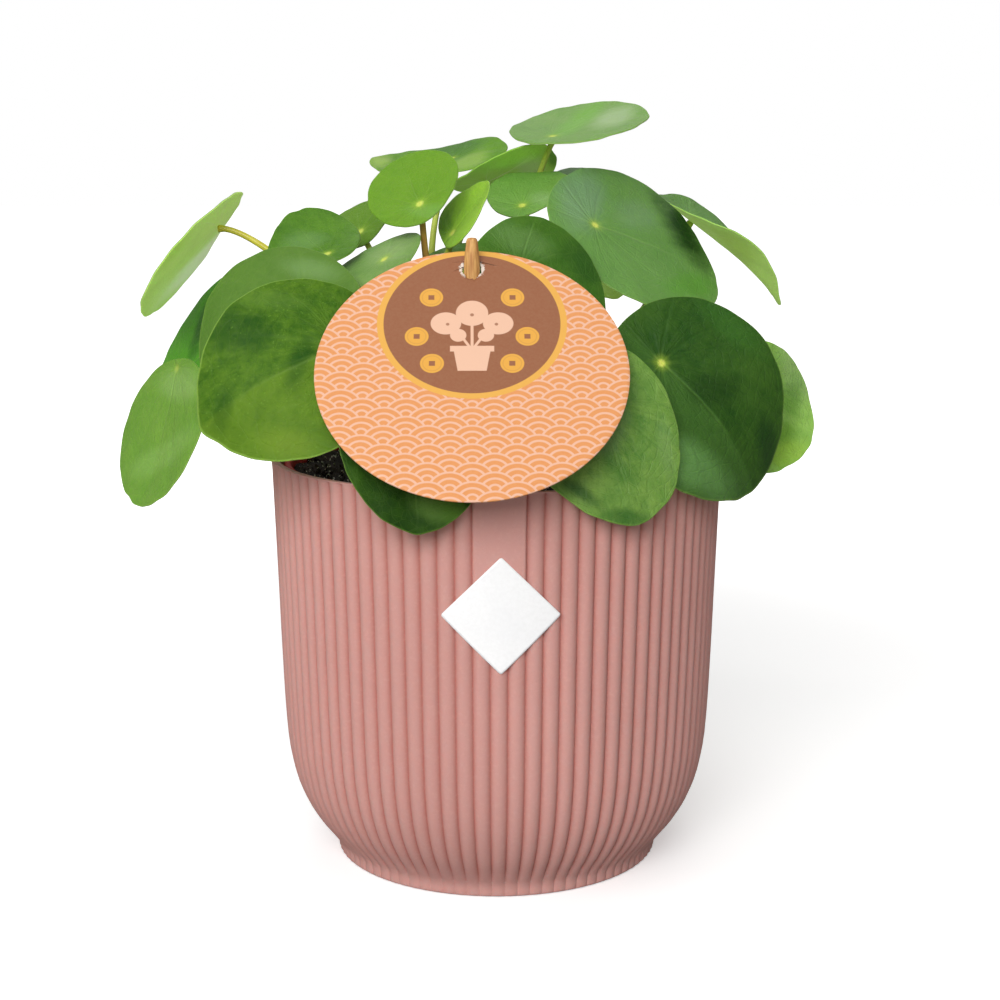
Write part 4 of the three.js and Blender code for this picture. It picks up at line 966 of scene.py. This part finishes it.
def blade_rise(l, x, y):
    kuu, kvv, kuv = l["bend"]
    R = l["R"]
    return (-0.5 * kuu * x * x - 0.5 * kvv * y * y - kuv * x * y + l["fold"] * (np.sqrt(y * y + (0.12 * R) ** 2) - 0.12 * R)
            - l["droop"] * R * np.maximum(x / R, 0) ** 3)


def make_leaf(i, l, look):
    n = unit(l["n"])
    u = unit(vec(l["u"]) - n * (vec(l["u"]) @ n))
    v = np.cross(n, u)
    at = vec(l["at"])
    R = l["R"]
    cols = 128 if R > 18 else 84
    a = np.arange(cols) * TAU / cols
    rng = np.random.default_rng(100 + i)
    nibble = 1 + sum(w * np.sin(m * a + rng.uniform(0, TAU)) for m, w in ((6, 0.11), (10, 0.10), (15, 0.08), (23, 0.05))) * min(1.0, R / 30) / R
    ex, ey = (q * nibble for q in blade_edge(l, a))
    er = np.hypot(ex, ey)
    t_mid, t_edge = 0.78, 0.5
    ks = np.concatenate([np.array([0.02, 0.045, 0.08, 0.12, 0.17]), np.linspace(0.23, 0.93, 18), [0.955, 0.975, 0.988]])
    # uneven margin, quilted face, dimple over the joint
    wave = sum(w * np.sin(m * a + rng.uniform(0, TAU)) for m, w in ((3, 0.16), (5, 0.14), (8, 0.10), (13, 0.06), (19, 0.04)))
    spokes = 9
    turn = rng.uniform(0, TAU)
    ring_k, ring_h, side = [], [], []
    half = t_edge / 2
    for k in ks:
        ring_k.append(np.full(cols, k))
        ring_h.append(np.full(cols, (t_mid + (t_edge - t_mid) * k * k) / 2))
        side.append(1.0)
    for q in (75, 50, 25, 0, -25, -50, -75):
        c, sn = math.cos(math.radians(q)), math.sin(math.radians(q))
        ring_k.append(1 - half * (1 - c) / er)
        ring_h.append(np.full(cols, half * sn))
        side.append(0.5 + 0.5 * sn)
    for k in ks[::-1]:
        ring_k.append(np.full(cols, k))
        ring_h.append(np.full(cols, -(t_mid + (t_edge - t_mid) * k * k) / 2))
        side.append(0.0)
    K, H = np.array(ring_k), np.array(ring_h)
    up = np.repeat(np.array(side)[:, None], cols, 1)
    X, Y = K * ex, K * ey
    rr = np.hypot(X, Y)
    quilt = 0.16 * np.abs(np.sin(0.5 * spokes * (a + turn)))[None, :] ** 0.8 * smooth(0.1, 0.5, K) * (1 - smooth(0.85, 1.0, K))
    flat = np.stack([X, Y, np.full_like(X, i * 31.0)], -1).reshape(-1, 3)
    lumps = (0.16 * ripple(flat, 10.0, 200 + i, 3) + 0.06 * ripple(flat, 4.2, 240 + i, 2)).reshape(X.shape) * smooth(0.05, 0.35, K)
    dimple = -0.22 * np.exp(-(rr / 1.5) ** 2)
    h = blade_rise(l, X, Y) + H + quilt + lumps + wave[None, :] * smooth(0.45, 1.0, K) * min(1.0, R / 26) + np.where(up > 0.6, dimple, 0.0)
    pts = at + X[..., None] * u + Y[..., None] * v + h[..., None] * n
    top = at + n * (t_mid / 2 - 0.22)
    low = at - n * (t_mid / 2)
    verts = np.concatenate([[top], pts.reshape(-1, 3), [low]])
    rows = len(ring_k)
    quads = ring_faces(rows, cols, offset=1, flip=True)
    j = np.arange(cols)
    jn = (j + 1) % cols
    last = 1 + (rows - 1) * cols
    tris = np.concatenate([np.stack([np.zeros(cols, int), 1 + j, 1 + jn], -1), np.stack([np.full(cols, len(verts) - 1), last + jn, last + j], -1)])
    lp = np.concatenate([[[0, 0, 0]], np.stack([X / R, Y / R, K], -1).reshape(-1, 3), [[0, 0, 0]]])
    ups = np.concatenate([[1.0], up.ravel(), [0.0]])
    belongs(build("blade_%02d" % i, verts, quads, tris, look, [("lp", lp), ("up", ups)]), "leaf", "leaf_blade_%02d" % i)


def make_petiole(i, l, look, thick=1.0):
    n = unit(l["n"])
    before = vec(l["via"][-1]) if "via" in l else vec(l["c2"])
    into = unit(vec(l["at"]) - before)
    end = vec(l["at"]) - n * (0.15 + 1.05 * math.sqrt(max(0.0, 1 - float(into @ n) ** 2)))
    root = vec(l["root"])
    axis = stem_axis(min(root[2] - 0.6, 148.0))
    inner = axis + (root - axis) * 0.35
    if "via" in l:
        way = through([root, *l["via"], end], 60)
    else:
        way = bezier(root, vec(l["c1"]), vec(l["c2"]), end, 46)
    way = np.concatenate([[inner, (inner + root) / 2], way])
    s = np.concatenate([[0], np.cumsum(np.linalg.norm(np.diff(way, axis=0), axis=1))])
    left = s[-1] - s
    r = (1.34 - 0.40 * s / s[-1]) * thick
    r = r + 0.45 * np.exp(-(s / 3.2) ** 2) + 0.32 * np.exp(-(left / 1.5) ** 2)
    r = r * (1 + 0.035 * ripple(way, 6.0, 300 + i, 2))
    v, q, t, share, angle = tube(way, r, 14, dome=(0.5, 0.1))
    run = np.stack([share, angle, np.zeros_like(share)], -1)
    belongs(build("stalk_%02d" % i, v, q, t, look, [("run", run)]), "petiole", "petiole_%02d" % i)


# The patches and halves below are partly the leaves' own tones and partly painted sheen and painted shadow; leaf 16's
# first patch is a painted shadow of leaf 18.
LOOKS = {
    1: dict(dark=(96, 138, 66), light=(120, 160, 80), under=(196, 230, 124), spot=0.5, backlit=0.4,
        under_sheen_shade_and_tone_patches=[((232, 242, 214), 0.62, 0.46, -0.66, 0.92, 0.45, -2.45), ((168, 206, 88), 0.6, 0.66, 1.03, 0.44, 0.37, 2.35)]),
    2: dict(dark=(92, 141, 46), light=(122, 162, 65), spot=0.25, spec=0.14,
        sheen_shade_and_tone_patches=[((157, 192, 114), 0.4, 0.23, 0.24, 0.64, 0.23, -1.7), ((146, 186, 99), 0.35, 1.14, 0.15, 0.83, 0.22, 1.89)]),
    3: dict(dark=(37, 82, 13), light=(87, 124, 31), mottle=1.3, margin=0.6, streaks=0.5, spot=0.4, half=((107, 140, 36), 0.5, 1.0), specks=0.35, spec=0.08, relief=0.85,
        sheen_shade_and_tone_patches=[((25, 68, 16), 0.6, 0.76, -0.62, 0.34, 0.27, 2.3), ((116, 144, 41), 0.45, 0.91, 0.66, 0.29, 0.15, 2.32), ((31, 74, 18), 0.5, 0.4, -0.04, 0.32, 0.1, 0.79), ((94, 130, 49), 0.45, 0.36, -0.78, 0.39, 0.12, 2.55), ((31, 72, 16), 0.45, 1.24, -0.01, 0.27, 0.1, 0.98)]),
    4: dict(dark=(62, 130, 26), light=(96, 164, 38),
        sheen_shade_and_tone_patches=[((24, 60, 20), 0.7, 0.43, -0.47, 0.41, 0.18, -2.19)]),
    5: dict(dark=(74, 112, 39), light=(97, 133, 53), spec=0.14,
        sheen_shade_and_tone_patches=[((134, 168, 109), 0.35, -0.31, -0.28, 0.4, 0.15, 2.2)]),
    6: dict(dark=(63, 108, 30), light=(97, 141, 43), spec=0.12, mottle=0.8,
        sheen_shade_and_tone_patches=[((128, 165, 101), 0.35, 0.8, 0.12, 0.48, 0.34, -1.86)]),
    7: dict(dark=(84, 127, 32), light=(108, 147, 40), under=(128, 160, 70),
        under_sheen_shade_and_tone_patches=[((160, 190, 140), 0.6, -0.12, -0.42, 0.55, 0.35, -3.14)]),
    8: dict(dark=(90, 135, 59), light=(132, 165, 89),
        sheen_shade_and_tone_patches=[((166, 195, 128), 0.4, -0.21, -0.09, 0.6, 0.41, 2.07)]),
    9: dict(dark=(93, 141, 31), light=(116, 159, 40),
        sheen_shade_and_tone_patches=[((127, 174, 83), 0.4, -0.39, -0.16, 0.64, 0.2, -2.34)]),
    10: dict(dark=(63, 120, 14), light=(109, 160, 24), spec=0.08,
        sheen_shade_and_tone_patches=[((58, 111, 27), 0.7, 0.28, -0.64, 0.92, 0.43, 2.42), ((167, 200, 94), 0.5, -0.42, 0.23, 0.56, 0.25, -1.52), ((182, 212, 108), 0.5, 1.02, 0.29, 0.54, 0.19, 2.0)]),
    11: dict(dark=(84, 136, 44), light=(116, 162, 58), under=(160, 212, 84), backlit=0.19,
        under_sheen_shade_and_tone_patches=[((168, 196, 130), 0.6, 0.68, 0.43, 0.6, 0.25, 2.26), ((70, 116, 40), 0.7, 1.14, 0.58, 0.33, 0.11, 2.33)]),
    12: dict(dark=(100, 147, 63), light=(129, 168, 85), fleck=0.9, spec=0.16,
        sheen_shade_and_tone_patches=[((117, 172, 66), 0.9, 0.72, 0.12, 0.95, 0.22, -2.89), ((212, 227, 191), 0.3, 0.96, -0.33, 0.53, 0.3, 0.36)]),
    13: dict(dark=(127, 180, 48), light=(162, 205, 66),
        sheen_shade_and_tone_patches=[((73, 125, 39), 0.5, 0.0, 0.47, 0.71, 0.32, 1.15)]),
    14: dict(dark=(98, 148, 62), light=(128, 173, 80),
        sheen_shade_and_tone_patches=[((148, 183, 119), 0.5, 0.14, -0.51, 0.53, 0.29, -2.14)]),
    15: dict(dark=(46, 94, 26), light=(84, 126, 40), spec=0.14,
        sheen_shade_and_tone_patches=[((104, 143, 75), 0.7, -0.29, 0.28, 0.45, 0.22, -2.47), ((35, 77, 24), 0.6, 0.4, 0.91, 0.36, 0.33, 1.18)]),
    16: dict(dark=(90, 140, 62), light=(118, 162, 81), mottle=0.4, spot=0.9, rib=(0.25, (140, 176, 104)),
        sheen_shade_and_tone_patches=[((20, 58, 13), 1.0, 1.11, 0.53, 0.52, 0.3, 2.01), ((90, 152, 45), 0.7, 1.08, -0.4, 0.42, 0.2, -2.47), ((130, 162, 129), 0.55, -0.16, 0.3, 0.57, 0.27, 1.29), ((124, 158, 116), 0.4, 0.49, 0.4, 0.33, 0.22, -2.42)]),
    17: dict(dark=(150, 190, 90), light=(176, 214, 104), spot=0.3, backlit=0.24, under=(176, 216, 96), both=True),
    18: dict(dark=(98, 148, 70), light=(124, 170, 92), under=(180, 222, 110), backlit=0.32,
        under_sheen_shade_and_tone_patches=[((150, 186, 70), 0.5, 0.77, -0.46, 0.43, 0.34, 1.23)]),
    19: dict(dark=(36, 74, 21), light=(62, 98, 32), rib=(0.3, (96, 138, 60)), spot=1.0, streaks=0.5, vein=0.06, vein_tone=(70, 110, 50), half=((78, 120, 50), 0.45, -1.0), spec=0.12, mottle=1.0, relief=0.85,
        sheen_shade_and_tone_patches=[((104, 150, 80), 0.85, 0.84, -0.6, 0.61, 0.25, -2.64), ((57, 103, 35), 0.6, 0.3, 0.81, 0.42, 0.15, -3.08), ((24, 55, 23), 0.6, 1.34, 0.35, 0.3, 0.16, 2.81), ((24, 55, 16), 0.55, 0.55, 0.21, 0.32, 0.19, -2.25)]),
    20: dict(dark=(127, 179, 74), light=(166, 212, 103), streaks=0.9, mottle=0.8, relief=0.85,
        sheen_shade_and_tone_patches=[((162, 197, 121), 0.6, 0.32, 0.92, 0.65, 0.3, 3.07), ((100, 152, 33), 0.7, 1.02, 0.06, 0.38, 0.21, 1.83), ((162, 204, 73), 0.6, 1.21, 0.03, 0.45, 0.19, -1.92), ((91, 145, 50), 0.55, 0.67, 0.62, 0.41, 0.2, 2.21)]),
    21: dict(dark=(76, 123, 45), light=(123, 159, 72), mottle=1.1, streaks=0.8, relief=0.85,
        sheen_shade_and_tone_patches=[((32, 78, 25), 0.75, 0.82, -0.52, 0.3, 0.1, -2.5), ((38, 89, 27), 0.6, 1.24, -0.09, 0.3, 0.1, -2.01), ((138, 168, 111), 0.5, 0.08, 0.01, 0.46, 0.27, 2.72), ((124, 159, 88), 0.5, 0.66, 0.6, 0.37, 0.12, 2.92), ((64, 113, 36), 0.5, 0.73, 0.02, 0.28, 0.12, -2.47)]),
    22: dict(dark=(24, 54, 14), light=(52, 86, 22), mottle=0.9, spec=0.06, relief=0.6,
        sheen_shade_and_tone_patches=[((95, 132, 55), 0.7, 0.88, 0.27, 0.36, 0.19, -1.99), ((80, 120, 38), 0.75, 0.86, 0.49, 0.36, 0.19, 0.3)]),
    23: dict(dark=(60, 110, 40), light=(84, 132, 54)),
    24: dict(dark=(88, 136, 56), light=(118, 160, 78)),
    25: dict(dark=(56, 104, 36), light=(86, 134, 52), under=(160, 188, 112)),
    26: dict(dark=(54, 102, 34), light=(84, 132, 50), under=(160, 188, 112)),
}
YELLOW = petiole_skin("petiole_yellow", srgb(158, 160, 48), srgb(216, 206, 66), srgb(178, 156, 46))
GREEN = petiole_skin("petiole_green", srgb(142, 150, 54), srgb(176, 202, 74), srgb(156, 132, 54))
RED = petiole_skin("petiole_red", srgb(150, 84, 48), srgb(176, 156, 62), srgb(166, 82, 46))
BRIGHT = petiole_skin("petiole_bright", srgb(196, 214, 92), srgb(206, 222, 96), srgb(190, 170, 78))
RUST = petiole_skin("petiole_rust", srgb(214, 124, 66), srgb(206, 170, 84), srgb(206, 112, 58))
STALKS = {1: YELLOW, 7: BRIGHT, 9: RUST, 10: BRIGHT, 12: BRIGHT, 13: GREEN, 3: RED, 8: YELLOW, 18: GREEN, 22: RED, 19: RED}
for i, l in LEAVES.items():
    make_leaf(i, l, leaf_skin(i, size=l["R"], **LOOKS[i]))
    make_petiole(i, l, STALKS.get(i, GREEN))


# ---- main stem ---------------------------------------------------------------------------------
def make_stem():
    p0, p1, p2 = map(vec, STEM_PATH)
    t = np.linspace(0, 1, 90)[:, None]
    way = (1 - t) ** 2 * p0 + 2 * t * (1 - t) * p1 + t * t * p2
    v, q, tr, share, angle = tube(way, np.full(len(way), 2.75), 36, dome=(0.6, 0.55))
    axis = np.array([stem_axis(min(max(z, 104.1), 148.9)) for z in v[:, 2]])
    out = v - axis
    out[:, 2] = 0
    d = np.linalg.norm(out, axis=1)
    way_out = out / np.maximum(d, 1e-6)[:, None]
    grow = np.zeros(len(v))
    for l in LEAVES.values():
        root = vec(l["root"])
        ax = stem_axis(min(root[2], 148.9))
        w = unit([root[0] - ax[0], root[1] - ax[1], 0.0])
        near = np.clip(way_out @ w, 0, 1)
        grow += 0.75 * near ** 5 * np.exp(-((v[:, 2] - root[2] + 0.8) / 1.3) ** 2)
    # old leaf scars lower down
    rng = np.random.default_rng(44)
    for z in np.arange(119.5, 146, 2.6):
        w = unit([rng.normal(), rng.normal(), 0])
        near = np.clip(way_out @ w, 0, 1)
        grow += 0.35 * near ** 7 * np.exp(-((v[:, 2] - z) / 0.7) ** 2)
    grow += 0.12 * ripple(v, 2.0, 45, 3)
    keep = (d > 0.6)
    v[keep] += way_out[keep] * np.minimum(grow, 0.95)[keep][:, None]
    belongs(build("stem_main", v, q, tr, stem_bark()), "stem", "main_stem")


make_stem()


# ---- tag, stick and label --------------------------------------------------------------------------
def make_tag():
    half = TAG_T / 2
    lean = abs(tag_n[2])
    outer, inner = 168, 48
    # the stick is upright, so its hole in the leaning card is longer up the card
    hole_w, hole_h = HOLE_R, HOLE_R / lean
    ring = []
    for i in range(outer):
        a = TAU * i / outer
        ring.append((math.sin(a), math.cos(a)))
    ring = np.array(ring)
    ha = np.arange(outer) * TAU / outer
    rng = np.random.default_rng(71)
    ragged = 1 + 0.05 * np.sin(7 * ha + 1) + 0.04 * np.sin(13 * ha + 2) + 0.03 * rng.normal(size=outer)
    hx = hole_w * np.sin(ha) * ragged
    hy = HOLE_UP + min(hole_h, 3.9) * np.cos(ha) * ragged
    # rings from the hole's edge to the card's edge, blended; both start at the top
    rows = []
    for s in (0.0, 0.01, 0.035, 0.09, 0.18, 0.3, 0.44, 0.6, 0.76, 0.9, 0.975):
        bx, by = hx * (1 - s) + TAG_R * ring[:, 0] * s, hy * (1 - s) + TAG_R * ring[:, 1] * s
        rows.append((bx, by))
    bevel = 0.12
    loops = []
    for bx, by in rows:
        loops.append((bx, by, np.full(outer, half), 1.0))
    loops.append((ring[:, 0] * (TAG_R - bevel), ring[:, 1] * (TAG_R - bevel), np.full(outer, half), 1.0))
    loops.append((ring[:, 0] * TAG_R, ring[:, 1] * TAG_R, np.full(outer, half - bevel), 1.0))
    loops.append((ring[:, 0] * TAG_R, ring[:, 1] * TAG_R, np.full(outer, -half + bevel), 1.0))
    loops.append((ring[:, 0] * (TAG_R - bevel), ring[:, 1] * (TAG_R - bevel), np.full(outer, -half), 0.0))
    for bx, by in rows[::-1]:
        loops.append((bx, by, np.full(outer, -half), 0.0))
    P, C = [], []
    for bx, by, bz, f in loops:
        # no warp is added: the card stays flat
        warp = 0.0
        P.append(vec(TAG_AT) + bx[:, None] * tag_u + by[:, None] * tag_v + (bz + warp)[:, None] * tag_n)
        C.append(np.stack([bx, by, np.full(outer, f)], -1))
    verts, cp = np.concatenate(P), np.concatenate(C)
    n = len(loops)
    quads = ring_faces(n, outer)
    # the last ring joins the first: the wall of the hole
    j = np.arange(outer)
    k = (j + 1) % outer
    wall = np.stack([(n - 1) * outer + j, (n - 1) * outer + k, k, j], -1)
    quads = np.concatenate([quads, wall])
    belongs(build("tag_card", verts, quads, [], printed_card(), [("cp", cp)]), "card", "plant_tag")


def make_stick():
    length = hole[2] + STICK_ABOVE - STICK_BOTTOM
    profile = [(0, 0), (1.7, 0), (2.25, 0.25), (2.36, 0.8)]
    profile += [(2.36, z) for z in (12, 24, 36, 48, 60, 72, 80, length - STICK_ABOVE + 0.4)]
    profile += [(2.3, length - 7.4), (2.16, length - 5.6), (1.98, length - 4.0), (1.82, length - 2.5), (1.68, length - 1.3), (1.5, length - 0.7), (1.1, length - 0.32), (0, length - 0.2)]
    v, q, t = revolve(profile, 28)
    rng = ripple(v * [1, 1, 0.08], 1.1, 81, 3)
    d = np.hypot(v[:, 0], v[:, 1])
    k = 1 + 0.025 * rng * (d > 0.2)
    v[:, 0] *= k
    v[:, 1] *= k
    v += [hole[0], hole[1], STICK_BOTTOM]
    belongs(build("stick_wood", v, q, t, wood()), "stick", "tag_stick")


def make_label():
    n = 40
    half, soft = LABEL_SIDE / 2, 0.45
    g = np.linspace(-1, 1, n + 1)
    thick = 0.22

    def place(a, b, h):
        # a, b along the sheet's sides; corners slightly rounded
        x, y = (a - b) / math.sqrt(2), (a + b) / math.sqrt(2)
        z = LABEL_Z + y
        r = crest(z) + 0.12 + h
        th = math.radians(LABEL_TURN) + x / float(crest(LABEL_Z))
        return np.stack([r * np.sin(th), -r * np.cos(th), z], -1)
    A, B = np.meshgrid(g * half, g * half, indexing="ij")
    # pull the four corners in
    over = np.maximum(np.abs(A) + np.abs(B) - (2 * half - soft), 0)
    A2, B2 = A - np.sign(A) * over * 0.45, B - np.sign(B) * over * 0.45
    front, back = place(A2, B2, thick), place(A2, B2, 0.0)
    m = n + 1
    verts = np.concatenate([front.reshape(-1, 3), back.reshape(-1, 3)])
    idx = np.arange(m * m).reshape(m, m)
    f = np.stack([idx[:-1, :-1], idx[1:, :-1], idx[1:, 1:], idx[:-1, 1:]], -1).reshape(-1, 4)
    b = f[:, ::-1] + m * m
    loop = np.concatenate([idx[:, 0], idx[-1, 1:], idx[-2::-1, -1], idx[0, -2:0:-1]])
    nxt = np.roll(loop, -1)
    sides = np.stack([nxt, loop, loop + m * m, nxt + m * m], -1)
    quads = np.concatenate([f, b, sides])
    belongs(build("label_sheet", verts, quads, [], label_paper()), "label", "pot_label")


make_tag()
make_stick()
make_label()


# ---- floor, light and camera --------------------------------------------------------------------------
def make_stage():
    me = bpy.data.meshes.new("floor")
    me.from_pydata([(-6, -4, 0), (6, -4, 0), (6, 8, 0), (-6, 8, 0)], [], [(0, 1, 2, 3)])
    m = bpy.data.materials.new("floor")
    m.use_nodes = True
    t = m.node_tree
    t.nodes.clear()
    out = t.nodes.new("ShaderNodeOutputMaterial")
    path = t.nodes.new("ShaderNodeLightPath")
    mixer = t.nodes.new("ShaderNodeMixShader")
    dim, bright = t.nodes.new("ShaderNodeBsdfDiffuse"), t.nodes.new("ShaderNodeBsdfDiffuse")
    dim.inputs[0].default_value = (FLOOR_BOUNCE,) * 3 + (1,)
    bright.inputs[0].default_value = (FLOOR_SEEN,) * 3 + (1,)
    glow, both = t.nodes.new("ShaderNodeEmission"), t.nodes.new("ShaderNodeAddShader")
    spot, far, rise = t.nodes.new("ShaderNodeTexCoord"), t.nodes.new("ShaderNodeVectorMath"), t.nodes.new("ShaderNodeMapRange")
    far.operation = "LENGTH"
    rise.interpolation_type = "SMOOTHSTEP"
    for socket, value in zip(rise.inputs[1:5], (0.28, 0.75, FLOOR_GLOW, 0.95)):
        socket.default_value = value
    t.links.new(spot.outputs["Object"], far.inputs[0])
    t.links.new(far.outputs["Value"], rise.inputs[0])
    t.links.new(rise.outputs[0], glow.inputs[1])
    t.links.new(bright.outputs[0], both.inputs[0])
    t.links.new(glow.outputs[0], both.inputs[1])
    t.links.new(path.outputs["Is Camera Ray"], mixer.inputs[0])
    t.links.new(dim.outputs[0], mixer.inputs[1])
    t.links.new(both.outputs[0], mixer.inputs[2])
    t.links.new(mixer.outputs[0], out.inputs[0])
    me.materials.append(m)
    o = bpy.data.objects.new("floor", me)
    bpy.context.scene.collection.objects.link(o)


FLOOR_BOUNCE = 0.35
FLOOR_SEEN = 0.95
FLOOR_GLOW = 0.36


def area(name, place, target, size, power, colour=(1, 1, 1)):
    d = bpy.data.lights.new(name, "AREA")
    d.shape = "RECTANGLE"
    d.size, d.size_y = size
    d.energy = power
    d.color = colour
    o = bpy.data.objects.new(name, d)
    o.location = place
    o.rotation_euler = (Vector(target) - Vector(place)).to_track_quat("-Z", "Y").to_euler()
    bpy.context.scene.collection.objects.link(o)


def around(turn, lift, away):
    """Place at turn degrees from the front, lift degrees up and away metres from the pot's upper part."""
    a, e = math.radians(turn), math.radians(lift)
    return (away * math.cos(e) * math.sin(a), -away * math.cos(e) * math.cos(a), 0.12 + away * math.sin(e))


def make_light():
    area("front", around(-11, 27, 1.6), (0, 0, 0.12), (0.9, 0.8), 19.8)
    area("left", around(-46, 35, 1.6), (0, 0, 0.12), (0.8, 0.8), 4.5)
    area("top", (-0.1, 0.15, 1.3), (0, 0, 0.12), (1.0, 0.8), 2.0)
    area("behind", around(180, 40, 1.5), (0, 0, 0.12), (1.0, 0.8), 2.2)
    w = bpy.data.worlds.new("studio")
    w.use_nodes = True
    t = w.node_tree
    t.nodes.clear()
    out = t.nodes.new("ShaderNodeOutputWorld")
    path = t.nodes.new("ShaderNodeLightPath")
    mixer = t.nodes.new("ShaderNodeMixShader")
    soft, seen = t.nodes.new("ShaderNodeBackground"), t.nodes.new("ShaderNodeBackground")
    soft.inputs[0].default_value = (1.0, 0.985, 0.97, 1)
    soft.inputs[1].default_value = WORLD
    seen.inputs[0].default_value = (1, 1, 1, 1)
    seen.inputs[1].default_value = 1.0
    t.links.new(path.outputs["Is Camera Ray"], mixer.inputs[0])
    t.links.new(soft.outputs[0], mixer.inputs[1])
    t.links.new(seen.outputs[0], mixer.inputs[2])
    t.links.new(mixer.outputs[0], out.inputs[0])
    bpy.context.scene.world = w


WORLD = 0.30


def make_camera():
    c = bpy.data.cameras.new("camera")
    c.lens = 67.02
    c.sensor_width = 36.0
    c.shift_x = 0.0035
    c.shift_y = 0.0016
    c.clip_start, c.clip_end = 0.01, 50
    o = bpy.data.objects.new("camera", c)
    o.location = (0.0, -0.5758, 0.2169)
    o.rotation_euler = (math.pi / 2 - 0.1822, 0, 0)
    bpy.context.scene.collection.objects.link(o)
    bpy.context.scene.camera = o


make_stage()
make_light()
make_camera()
bpy.context.scene.view_settings.view_transform = "Standard"
